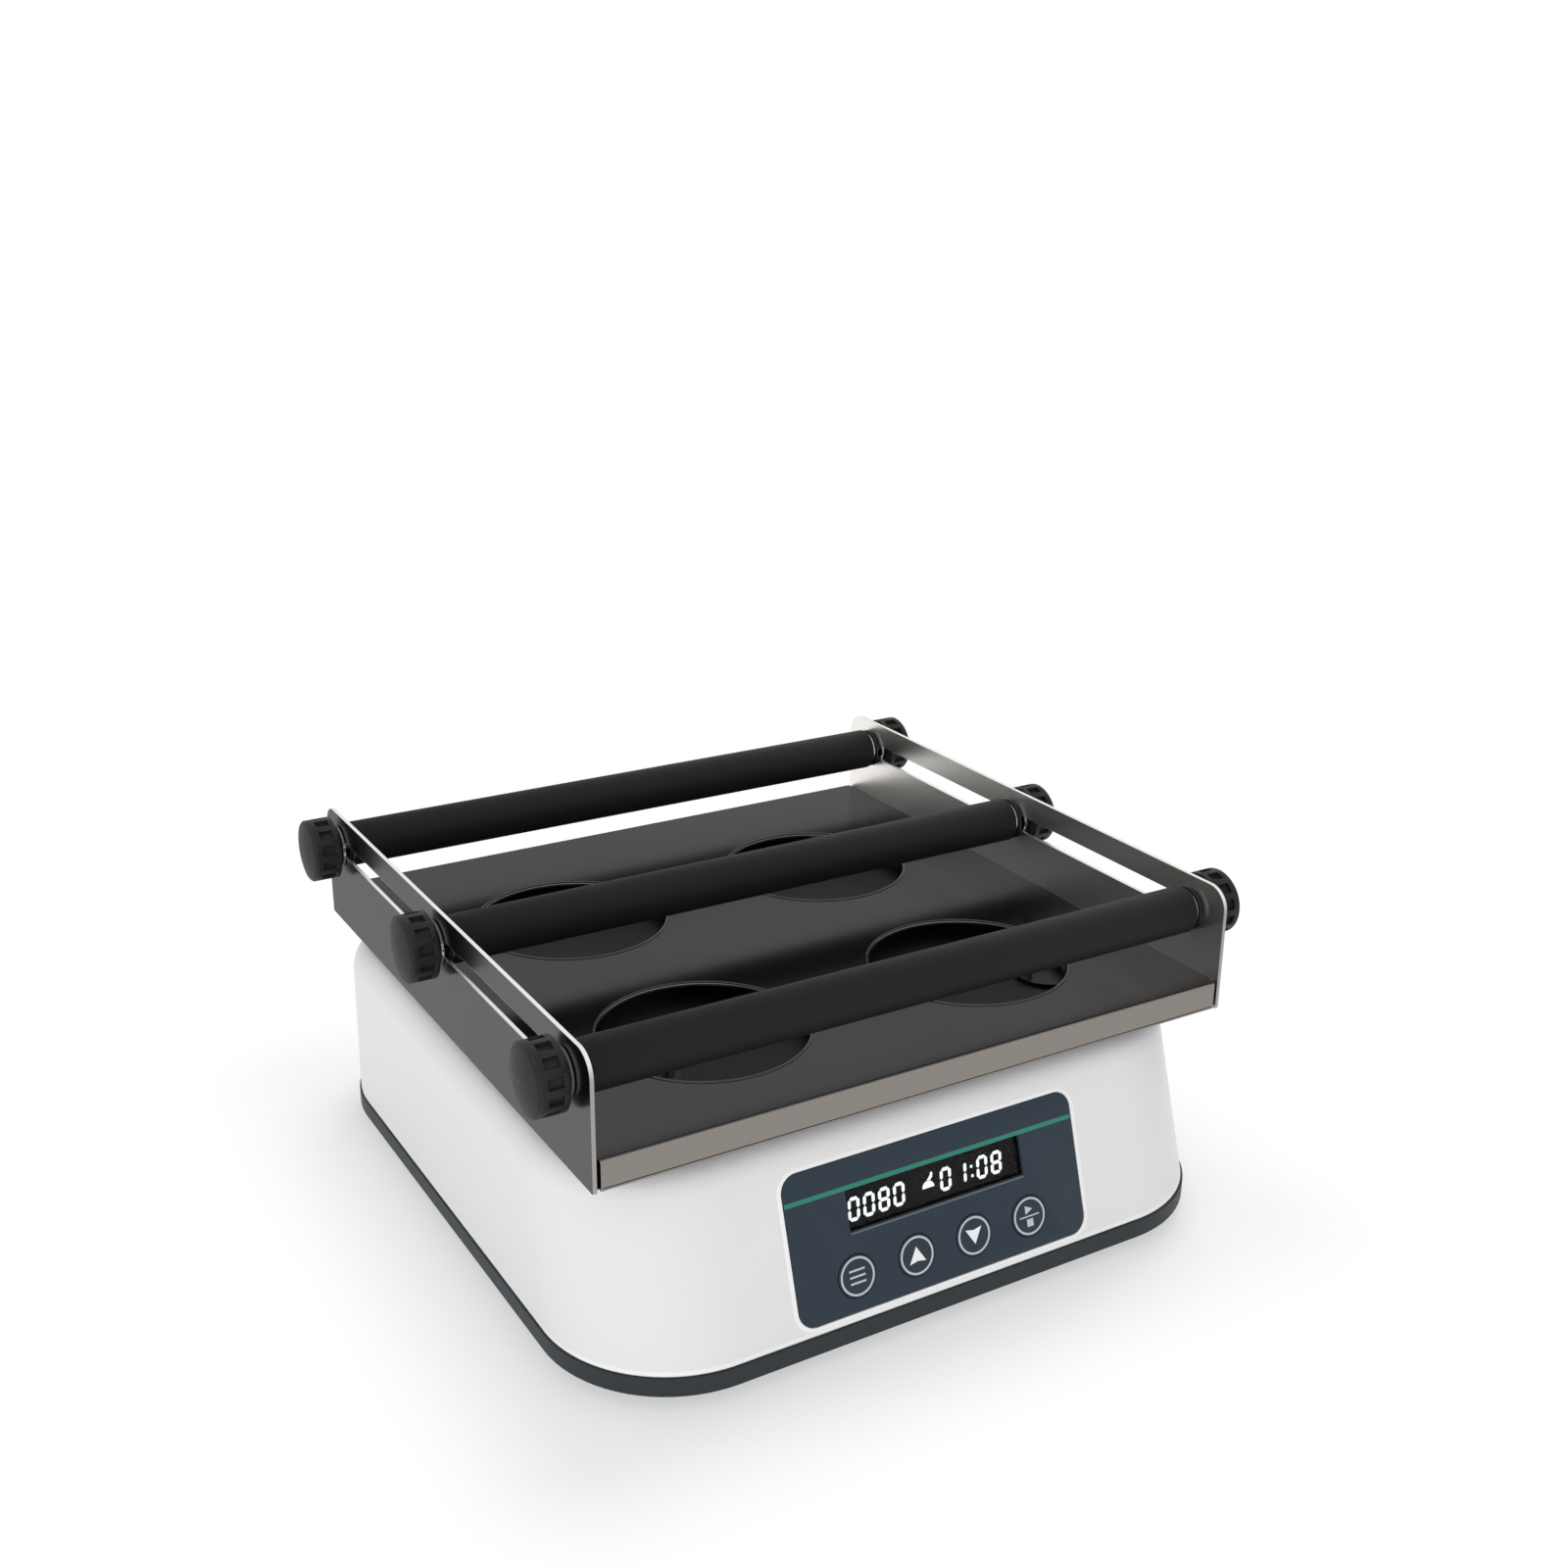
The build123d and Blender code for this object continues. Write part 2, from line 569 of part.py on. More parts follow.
def idler_housings():
    """Four flanged housings that stand on the chassis plate."""
    housings = []
    top = Z_WEB - IDLER_TOP_GAP
    screws = flange_screw_places()[1]
    for x, y in IDLERS.values():
        body = cylinder(x, y, Z_DECK, top, IDLER_HOUSING_RADIUS)
        body += cylinder(x, y, Z_DECK, Z_DECK + FLANGE_THICKNESS, IDLER_FLANGE_RADIUS)
        body -= cylinder(x, y, Z_DECK, top, IDLER_SHAFT_RADIUS + BORE_RELIEF)
        body -= cylinder(x, y, Z_DECK, Z_DECK + IDLER_BEARING_WIDTH, IDLER_BEARING_RADIUS + SEAT_FIT)
        body -= cylinder(x, y, top - IDLER_BEARING_WIDTH, top, IDLER_BEARING_RADIUS + SEAT_FIT)
        for sx, sy in screws:
            body -= cylinder(sx, sy, Z_DECK, Z_DECK + FLANGE_THICKNESS, SCREW_RADIUS + HOLE_GAP)
            body -= cylinder(
                sx, sy, Z_DECK + FLANGE_THICKNESS, Z_DECK + 2 * FLANGE_THICKNESS, SCREW_HEAD_RADIUS + HOLE_GAP
            )
        housings.append(body)
    return group(housings)


def idler_bearings():
    """Two ball bearings in each idler housing."""
    top = Z_WEB - IDLER_TOP_GAP
    bore = IDLER_SHAFT_RADIUS + RUN_FIT
    rings = []
    for x, y in IDLERS.values():
        rings.append(ring(x, y, Z_DECK, Z_DECK + IDLER_BEARING_WIDTH, IDLER_BEARING_RADIUS, bore))
        rings.append(ring(x, y, top - IDLER_BEARING_WIDTH, top, IDLER_BEARING_RADIUS, bore))
    return group(rings)


def idler_crank(x, y):
    """A shaft, a web and a pin one eccentricity behind the shaft."""
    body = cylinder(x, y, Z_DECK, Z_WEB, IDLER_SHAFT_RADIUS)
    body += cylinder(x, y, Z_WEB, Z_WEB_TOP, IDLER_WEB_RADIUS)
    body += cylinder(x, y + ECCENTRICITY, Z_WEB_TOP, Z_PIN_TOP, IDLER_SHAFT_RADIUS)
    return body


def drive_crank():
    """The driven shaft, its web and the pin that carries the platform."""
    low = Z_CHASSIS - DRIVE_HOUSING_DROP - SHAFT_TAIL
    body = cylinder(0, DRIVE_Y, low, Z_WEB, DRIVE_SHAFT_RADIUS)
    body += cylinder(0, DRIVE_Y, Z_WEB, Z_WEB_TOP, WEB_RADIUS)
    body += cylinder(0, PLATFORM_Y, Z_WEB_TOP, Z_PIN_TOP, DRIVE_PIN_RADIUS)
    return body


def counterweight():
    """A half disc opposite the pin, clamped under the web."""
    bore = cylinder(0, DRIVE_Y, Z_WEIGHT, Z_WEB, DRIVE_SHAFT_RADIUS + SEAT_FIT)
    half = cylinder(0, DRIVE_Y, Z_WEIGHT, Z_WEB, WEIGHT_RADIUS)
    keep = Pos(0, DRIVE_Y - WEIGHT_RADIUS, Z_WEIGHT) * Box(
        4 * WEIGHT_RADIUS, 2 * WEIGHT_RADIUS, WEIGHT_THICKNESS, align=(Align.CENTER, Align.CENTER, Align.MIN)
    )
    return (half & keep) + cylinder(0, DRIVE_Y, Z_WEIGHT, Z_WEB, WEIGHT_HUB_RADIUS) - bore


def pulley(y, rim, bore):
    """A flanged belt pulley with a plain bore."""
    low, high = Z_PULLEY, Z_PULLEY + PULLEY_WIDTH
    body = cylinder(0, y, low, high, rim)
    body += cylinder(0, y, low, low + PULLEY_FLANGE, rim + PULLEY_FLANGE_RISE)
    body += cylinder(0, y, high - PULLEY_FLANGE, high, rim + PULLEY_FLANGE_RISE)
    return body - cylinder(0, y, low, high, bore + SEAT_FIT)


def belt_face(extra):
    """The area inside a belt that runs round both pulleys, this much outside their rims."""
    large = DRIVE_PULLEY_RADIUS + extra
    small = MOTOR_PULLEY_RADIUS + extra
    turn = asin((large - small) / BELT_CENTRES)
    near = (large * cos(turn), DRIVE_Y + large * sin(turn))
    far = (small * cos(turn), MOTOR_Y + small * sin(turn))
    sides = Polygon(near, far, (-far[0], far[1]), (-near[0], near[1]), align=None)
    return sides + Pos(0, DRIVE_Y) * Circle(large) + Pos(0, MOTOR_Y) * Circle(small)


def drive_belt():
    """A flat belt round both pulleys, between their flanges."""
    low = Z_PULLEY + PULLEY_FLANGE + BELT_GAP
    height = PULLEY_WIDTH - 2 * (PULLEY_FLANGE + BELT_GAP)
    loop = belt_face(BELT_GAP + BELT_THICKNESS) - belt_face(BELT_GAP)
    return extrude(Pos(0, 0, low) * loop, height)


def motor_body():
    """A square-frame motor hung under the chassis plate."""
    low = Z_CHASSIS - MOTOR_HEIGHT
    body = slab(0, MOTOR_Y, low, Z_CHASSIS, MOTOR_SIDE, MOTOR_SIDE, MOTOR_CORNER)
    body -= cylinder(0, MOTOR_Y, Z_CHASSIS - MOTOR_SHAFT_DEPTH, Z_CHASSIS, MOTOR_SHAFT_RADIUS + RUN_FIT)
    tip = Z_CHASSIS - FLANGE_THICKNESS - SCREW_TIP_GAP
    for x, y in flange_screw_places()[2]:
        body -= cylinder(x, y, tip, Z_CHASSIS, SCREW_RADIUS + SEAT_FIT)
    return body


def motor_shaft():
    """The rotor's shaft, up through the chassis plate to the small pulley."""
    low = Z_CHASSIS - MOTOR_SHAFT_DEPTH + SLIDE_GAP
    return cylinder(0, MOTOR_Y, low, Z_PULLEY + PULLEY_WIDTH, MOTOR_SHAFT_RADIUS)


def carrier_pins():
    """Each crank pin under the carrier: place, bearing radius, pin radius and the clearance round the pin."""
    pins = [(0, PLATFORM_Y, DRIVE_PIN_BEARING_RADIUS, DRIVE_PIN_RADIUS, RUN_FIT)]
    for x, y in IDLERS.values():
        pins.append((x, y + ECCENTRICITY, IDLER_PIN_BEARING_RADIUS, IDLER_SHAFT_RADIUS, OPEN_PIN_FIT))
    return pins


def cap_screw_places():
    """Two screws through each bearing cap, left and right of its bearing."""
    places = []
    for x, y, bearing, pin, fit in carrier_pins():
        offset = bearing + CAP_SCREW_OFFSET
        places += [(x - offset, y), (x + offset, y)]
    return places


def carrier_plate():
    """The steel plate that the cranks carry, with a bearing boss over each pin."""
    body = slab(0, PLATFORM_Y, Z_CARRIER, Z_CARRIER_TOP, CARRIER_WIDTH, CARRIER_DEPTH, CARRIER_CORNER)
    low = Z_CARRIER - CARRIER_BOSS_DROP
    for x, y, bearing, pin, fit in carrier_pins():
        body += cylinder(x, y, low, Z_CARRIER, bearing + CARRIER_BOSS_WALL)
        body -= cylinder(x, y, low, Z_CARRIER_TOP, pin + BORE_RELIEF)
        body -= cylinder(x, y, Z_CARRIER_TOP - PIN_BEARING_WIDTH, Z_CARRIER_TOP, bearing + SEAT_FIT)
    for x, y in cap_screw_places():
        body -= cylinder(x, y, Z_CARRIER, Z_CARRIER_TOP, SMALL_SCREW_RADIUS + SEAT_FIT)
    for x, y in SPACERS:
        body -= cylinder(x, y, Z_CARRIER, Z_CARRIER_TOP, STUD_RADIUS + HOLE_GAP)
    return body


def carrier_bearings():
    """The five pin bearings in the carrier."""
    low = Z_CARRIER_TOP - PIN_BEARING_WIDTH
    return group(
        ring(x, y, low, Z_CARRIER_TOP, bearing, pin + fit) for x, y, bearing, pin, fit in carrier_pins()
    )


def bearing_caps():
    """A flat cap over each pin bearing."""
    caps = []
    places = cap_screw_places()
    top = Z_CARRIER_TOP + CAP_THICKNESS
    for x, y, bearing, pin, fit in carrier_pins():
        cap = cylinder(x, y, Z_CARRIER_TOP, top, bearing + CAP_MARGIN)
        for sx, sy in places:
            cap -= cylinder(sx, sy, Z_CARRIER_TOP, top, SMALL_SCREW_RADIUS + HOLE_GAP)
        caps.append(cap)
    return group(caps)


def cap_screws():
    """Small screws that hold the bearing caps."""
    seat = Z_CARRIER_TOP + CAP_THICKNESS
    reach = CAP_THICKNESS + CARRIER_THICKNESS
    return group(
        screw(x, y, seat, reach, SMALL_SCREW_RADIUS, SMALL_HEAD_RADIUS, SMALL_HEAD_HEIGHT)
        for x, y in cap_screw_places()
    )


def tray_spacers():
    """Rubber buffers between the carrier and the tray's floor."""
    bore = STUD_RADIUS + HOLE_GAP
    return group(ring(x, y, Z_CARRIER_TOP, Z_TRAY_UNDER, SPACER_RADIUS, bore) for x, y in SPACERS)


def tray_studs():
    """Studs welded under the tray's floor, down through buffers and carrier."""
    return group(cylinder(x, y, Z_CARRIER - STUD_TAIL, Z_TRAY_UNDER, STUD_RADIUS) for x, y in SPACERS)


def tray_nuts():
    """Hexagon nuts on the studs, under the carrier."""
    nuts = []
    for x, y in SPACERS:
        outline = Pos(x, y, Z_CARRIER - NUT_HEIGHT) * RegularPolygon(NUT_RADIUS, 6)
        nut = extrude(outline, NUT_HEIGHT)
        nuts.append(nut - cylinder(x, y, Z_CARRIER - NUT_HEIGHT, Z_CARRIER, STUD_RADIUS + SEAT_FIT))
    return group(nuts)


def block(x_low, x_high, y_low, y_high, z_low, z_high):
    """A plain block between its limits."""
    size = (x_high - x_low, y_high - y_low, z_high - z_low)
    return Pos((x_low + x_high) / 2, (y_low + y_high) / 2, (z_low + z_high) / 2) * Box(*size)


def tray_plate():
    """The folded floor: flanges down at the front, the back and the sides, and four round holes."""
    half_x = TRAY_WIDTH / 2 - SHEET
    front = PLATFORM_Y - TRAY_DEPTH / 2
    back = PLATFORM_Y + TRAY_DEPTH / 2
    fold_x = half_x - FLANGE_END_GAP
    fold_low = Z_PLATE + FLANGE_LIFT
    body = block(-fold_x, fold_x, front, back, Z_TRAY_UNDER, Z_TRAY)
    body += block(-fold_x, fold_x, front, front + SHEET, fold_low, Z_TRAY)
    body += block(-fold_x, fold_x, back - SHEET, back, fold_low, Z_TRAY)
    body = fillet(body.edges().filter_by(Axis.X).group_by(Axis.Z)[-1].sort_by(Axis.Y)[0], BEND_RADIUS)
    body = fillet(body.edges().filter_by(Axis.X).group_by(Axis.Z)[-1].sort_by(Axis.Y)[-1], BEND_RADIUS)
    side_front = front + SHEET + FLANGE_END_GAP
    side_back = back - SHEET - FLANGE_END_GAP
    body += block(-half_x, half_x, side_front, side_back, Z_TRAY_UNDER, Z_TRAY)
    for low, high in ((-half_x, -half_x + SHEET), (half_x - SHEET, half_x)):
        body += block(low, high, side_front, side_back, Z_TRAY_UNDER - SIDE_FLANGE_DROP, Z_TRAY)
    for x, y in TRAY_HOLES:
        body -= cylinder(x, y, Z_TRAY_UNDER, Z_TRAY, TRAY_HOLE_RADIUS)
        mouth = Pos(x, y, Z_TRAY - TRAY_HOLE_EDGE) * Cone(
            TRAY_HOLE_RADIUS,
            TRAY_HOLE_RADIUS + TRAY_HOLE_EDGE,
            TRAY_HOLE_EDGE,
            align=(Align.CENTER, Align.CENTER, Align.MIN),
        )
        body -= mouth
    return body


def side_plate(side):
    """A mirror-polished side plate with a long slot for the bars. side is -1 for left, 1 for right."""
    outer = side * TRAY_WIDTH / 2
    inner = outer - side * SHEET
    x_low, x_high = sorted((outer, inner))
    front = PLATFORM_Y - TRAY_DEPTH / 2
    body = block(x_low, x_high, front, front + TRAY_DEPTH, Z_PLATE, Z_PLATE + PLATE_HEIGHT)
    corners = body.edges().filter_by(Axis.X).group_by(Axis.Z)
    body = fillet(corners[-1], PLATE_TOP_RADIUS)
    body = fillet(body.edges().filter_by(Axis.X).group_by(Axis.Z)[0], PLATE_FOOT_RADIUS)
    slot = SlotOverall(2 * SLOT_HALF_LENGTH, SLOT_WIDTH)
    plane = Plane(origin=(x_low, PLATFORM_Y, Z_ROD), x_dir=(0, 1, 0), z_dir=(1, 0, 0))
    return body - extrude(plane * slot, SHEET)


def along_x(y, x_low, x_high, radius):
    """A cylinder along X at bar height."""
    start = Plane(origin=(x_low, y, Z_ROD), x_dir=(0, 1, 0), z_dir=(1, 0, 0))
    return extrude(start * Circle(radius), x_high - x_low)


def bar_rod(y):
    """A turned steel bar: a core under the sleeve, a flange and a collar at each end, and threaded ends."""
    inner_face = TRAY_WIDTH / 2 - SHEET
    collar = inner_face - SLIDE_GAP
    flange = inner_face - SLEEVE_END_GAP
    tip = TRAY_WIDTH / 2 + KNOB_STANDOFF + KNOB_LENGTH - KNOB_CAP_DEPTH
    body = along_x(y, -tip, tip, ROD_RADIUS)
    body += along_x(y, -collar, collar, END_COLLAR_RADIUS)
    body += along_x(y, -flange, flange, BAR_CORE_RADIUS)
    for low in (-flange - END_FLANGE_WIDTH, flange):
        body += along_x(y, low, low + END_FLANGE_WIDTH, END_FLANGE_RADIUS)
    return body


def bar_sleeve(y):
    """The rubber sleeve that grips the vessels."""
    end = TRAY_WIDTH / 2 - SHEET - SLEEVE_END_GAP
    return along_x(y, -end, end, SLEEVE_RADIUS) - along_x(y, -end, end, BAR_CORE_RADIUS + SEAT_FIT)


def knob(y, side):
    """A clamping knob: a domed face with its rim, a ring near the plate, square grips between and a neck."""
    base = KNOB_STANDOFF
    ring_top = base + KNOB_RING_WIDTH
    face = base + KNOB_LENGTH - KNOB_DOME_RISE
    tip = base + KNOB_LENGTH
    rim = face - KNOB_RIM_WIDTH
    root = KNOB_RADIUS - KNOB_GRIP_DEPTH
    dome_edge = KNOB_RADIUS - KNOB_FACE_CHAMFER
    dome = TangentArc((0, tip), (dome_edge, face), tangent=(1, 0))
    outline = Polyline(
        (0, tip),
        (0, SLIDE_GAP),
        (KNOB_NECK_RADIUS, SLIDE_GAP),
        (KNOB_NECK_RADIUS, base),
        (KNOB_RADIUS, base),
        (KNOB_RADIUS, ring_top),
        (root, ring_top),
        (root, rim),
        (KNOB_RADIUS, rim),
        (KNOB_RADIUS, face - KNOB_FACE_CHAMFER),
        (dome_edge, face),
    )
    section = Plane.XZ * make_face(outline.edges() + dome.edges())
    body = revolve(section, Axis.Z)
    pitch = 360 / KNOB_GRIPS
    width = 2 * KNOB_RADIUS * sin(radians(pitch * KNOB_GRIP_SHARE / 2))
    for n in range(KNOB_GRIPS):
        grip = Pos(root - KNOB_GRIP_ROOT, 0, base) * Box(
            KNOB_GRIP_DEPTH + KNOB_GRIP_ROOT,
            width,
            rim - base,
            align=(Align.MIN, Align.CENTER, Align.MIN),
        )
        body += Rot(0, 0, n * pitch) * grip
    keep = Cylinder(KNOB_RADIUS, tip, align=(Align.CENTER, Align.CENTER, Align.MIN))
    body = body & keep
    bore = base + KNOB_LENGTH - KNOB_CAP_DEPTH + SLIDE_GAP
    body -= Cylinder(ROD_RADIUS + RUN_FIT, bore, align=(Align.CENTER, Align.CENTER, Align.MIN))
    seat = Plane(origin=(side * TRAY_WIDTH / 2, y, Z_ROD), x_dir=(0, 1, 0), z_dir=(side, 0, 0))
    return seat * body


def control_panel():
    """The printed panel in its pocket, open over the window and round each key."""
    body = on_face(0, PANEL_CENTRE, -PANEL_THICKNESS, 0, panel_outline(0))
    body -= on_face(0, WINDOW_CENTRE_RISE, -PANEL_THICKNESS, 0, window_outline(0))
    for place in KEYS.values():
        body -= on_face(place * KEY_PITCH, KEY_RISE, -PANEL_THICKNESS, 0, Circle(KEY_RADIUS + KEY_GAP))
    return body


def lcd_window():
    """The clear window behind the panel's opening."""
    back = -PANEL_THICKNESS - GLASS_THICKNESS
    return on_face(0, WINDOW_CENTRE_RISE, back, -PANEL_THICKNESS, window_outline(GLASS_MARGIN))


def lcd_module():
    """The display module, from the control board to the window."""
    front = -PANEL_THICKNESS - GLASS_THICKNESS
    return on_face(0, WINDOW_CENTRE_RISE, -BOARD_DEPTH, front, window_outline(GLASS_MARGIN / 2))


def control_board():
    """The board behind the panel, with a push switch under each key and a driver chip."""
    outline = RectangleRounded(BOARD_WIDTH, BOARD_HEIGHT, BOARD_CORNER)
    body = on_face(0, PANEL_CENTRE, -BOARD_BACK, -BOARD_DEPTH, outline)
    push_switch = Rectangle(SWITCH_SIDE, SWITCH_SIDE)
    for place in KEYS.values():
        body += on_face(place * KEY_PITCH, KEY_RISE, -BOARD_DEPTH, -BOARD_DEPTH + SWITCH_HEIGHT, push_switch)
    chip = Rectangle(CHIP_SIDE, CHIP_SIDE)
    body += on_face(0, PANEL_CENTRE, -BOARD_BACK - SWITCH_HEIGHT, -BOARD_BACK, chip)
    for x, rise in BOARD_POSTS:
        body -= on_face(x, rise, -BOARD_BACK, -BOARD_DEPTH, Circle(SMALL_SCREW_RADIUS + HOLE_GAP))
    return body


def board_screws():
    """Screws of the control board and of the supply board."""
    screws = []
    tip = -COVER_WALL - SLIDE_GAP
    for x, rise in BOARD_POSTS:
        head = on_face(x, rise, -BOARD_BACK - SMALL_HEAD_HEIGHT, -BOARD_BACK, Circle(SMALL_HEAD_RADIUS))
        screws.append(head + on_face(x, rise, -BOARD_BACK, tip, Circle(SMALL_SCREW_RADIUS)))
    seat = Z_FLOOR + SUPPLY_POST_HEIGHT + BOARD_THICKNESS
    for x, y in supply_posts():
        reach = SUPPLY_POST_HEIGHT + BOARD_THICKNESS - SLIDE_GAP
        screws.append(screw(x, y, seat, reach, SMALL_SCREW_RADIUS, SMALL_HEAD_RADIUS, SMALL_HEAD_HEIGHT))
    return group(screws)


def key(place):
    """A round key with a low crown and a stem towards its push switch."""
    x = place * KEY_PITCH
    cap = on_face(x, KEY_RISE, -KEY_CAP_DEPTH, KEY_CROWN, Circle(KEY_RADIUS))
    cap = fillet(cap.edges().sort_by(FACE_AXIS)[-1], KEY_EDGE)
    stem_end = -BOARD_DEPTH + SWITCH_HEIGHT + KEY_TRAVEL + SWITCH_CLEARANCE
    return cap + on_face(x, KEY_RISE, stem_end, -KEY_CAP_DEPTH, Circle(KEY_STEM_RADIUS))


def supply_posts():
    """The four posts of the supply board."""
    dx = SUPPLY_WIDTH / 2 - BOARD_POST_INSET
    dy = SUPPLY_DEPTH / 2 - BOARD_POST_INSET
    return [(SUPPLY_X + sx * dx, SUPPLY_Y + sy * dy) for sx in (-1, 1) for sy in (-1, 1)]


def supply_board():
    """The mains supply: a board with a transformer, capacitors and a heat sink."""
    low = Z_FLOOR + SUPPLY_POST_HEIGHT
    top = low + BOARD_THICKNESS
    body = slab(SUPPLY_X, SUPPLY_Y, low, top, SUPPLY_WIDTH, SUPPLY_DEPTH, BOARD_CORNER)
    for x, y in supply_posts():
        body -= cylinder(x, y, low, top, SMALL_SCREW_RADIUS + HOLE_GAP)
    high = top + SUPPLY_PART_HEIGHT
    body += slab(SUPPLY_X, SUPPLY_Y, top, high, TRANSFORMER_SIDE, TRANSFORMER_SIDE, BOARD_CORNER)
    for side in (-1, 1):
        x = SUPPLY_X + side * CAPACITOR_SPREAD
        body += cylinder(x, SUPPLY_Y + SUPPLY_PART_PITCH, top, high, CAPACITOR_RADIUS)
    sink_y = SUPPLY_Y - SUPPLY_PART_PITCH
    body += slab(SUPPLY_X, sink_y, top, high, TRANSFORMER_SIDE, HEAT_SINK_DEPTH, BOARD_CORNER)
    return body


def power_inlet():
    """A three-pole mains inlet in the back wall, mouth outwards."""
    z = REAR_Z
    body = rear_block(INLET_X, z, INLET_WIDTH, INLET_HEIGHT, -INLET_DEPTH, 0, INLET_CORNER)
    margin = 2 * INLET_FLANGE_MARGIN
    body += rear_block(INLET_X, z, INLET_WIDTH + margin, INLET_HEIGHT + margin, 0, INLET_FLANGE, INLET_CORNER)
    width = INLET_WIDTH - 2 * INLET_WALL
    height = INLET_HEIGHT - 2 * INLET_WALL
    body -= rear_block(INLET_X, z, width, height, INLET_FLANGE - INLET_CAVITY, INLET_FLANGE, INLET_CORNER)
    for x, z_blade in blade_places():
        body -= blade(x, z_blade, SEAT_FIT)
    return body


def rear_block(x, z, width, height, low, high, corner):
    """A rounded block in the back wall, from depth low to depth high, where 0 is the recess's floor."""
    wall = Plane(origin=(x, REAR_FACE_Y + low, z), x_dir=(1, 0, 0), z_dir=(0, 1, 0))
    return extrude(wall * RectangleRounded(width, height, corner), high - low)


def blade_places():
    """Two side blades and a middle earth blade, which stands lower."""
    return [
        (INLET_X - BLADE_PITCH, REAR_Z + BLADE_DROP),
        (INLET_X, REAR_Z - BLADE_DROP),
        (INLET_X + BLADE_PITCH, REAR_Z + BLADE_DROP),
    ]


def blade(x, z, extra):
    """One contact blade, from its tail behind the inlet to its tip in the cavity."""
    root = INLET_FLANGE - INLET_CAVITY
    low = REAR_FACE_Y - INLET_DEPTH - BLADE_TAIL
    high = REAR_FACE_Y + root + BLADE_LENGTH
    half_x = BLADE_THICKNESS / 2 + extra
    half_z = BLADE_WIDTH / 2 + extra
    return block(x - half_x, x + half_x, low, high, z - half_z, z + half_z)


def inlet_blades():
    """The inlet's three contacts."""
    return group(blade(x, z, 0) for x, z in blade_places())


def switch_frame():
    """The rocker switch's body and bezel in the back wall."""
    width = SWITCH_BODY_WIDTH
    height = SWITCH_BODY_HEIGHT
    margin = 2 * SWITCH_FLANGE_MARGIN
    wall = 2 * SWITCH_WALL
    body = rear_block(SWITCH_X, REAR_Z, width, height, -SWITCH_DEPTH, 0, SWITCH_WALL)
    body += rear_block(SWITCH_X, REAR_Z, width + margin, height + margin, 0, SWITCH_FLANGE, SWITCH_WALL)
    floor = SWITCH_WALL - SWITCH_DEPTH
    body -= rear_block(SWITCH_X, REAR_Z, width - wall, height - wall, floor, SWITCH_FLANGE, SWITCH_GAP)
    reach = ROCKER_WIDTH / 2 + ROCKER_PIN_LENGTH + SWITCH_GAP
    return body - rocker_pin(reach, ROCKER_PIN_RADIUS + RUN_FIT)


def rocker_pin(reach, radius):
    """A cylinder on the rocker's axis, this far to each side."""
    start = Plane(
        origin=(SWITCH_X - reach, REAR_FACE_Y - ROCKER_PIVOT_DEPTH, REAR_Z),
        x_dir=(0, 1, 0),
        z_dir=(1, 0, 0),
    )
    return extrude(start * Circle(radius), 2 * reach)


def switch_rocker():
    """The rocker: part of a drum with a shallow V in front, pressed at its lower half, on two stub pins."""
    pivot = REAR_FACE_Y - ROCKER_PIVOT_DEPTH
    drum = rocker_pin(ROCKER_WIDTH / 2, ROCKER_RADIUS)
    for side in (-1, 1):
        cut = Pos(0, ROCKER_FACE, side * ROCKER_RADIUS) * Box(
            4 * ROCKER_WIDTH, ROCKER_RADIUS, 2 * ROCKER_RADIUS, align=(Align.CENTER, Align.MIN, Align.CENTER)
        )
        drum -= Pos(SWITCH_X, pivot, REAR_Z) * Rot(-side * ROCKER_ANGLE - ROCKER_ANGLE, 0, 0) * cut
    return drum + rocker_pin(ROCKER_WIDTH / 2 + ROCKER_PIN_LENGTH, ROCKER_PIN_RADIUS)


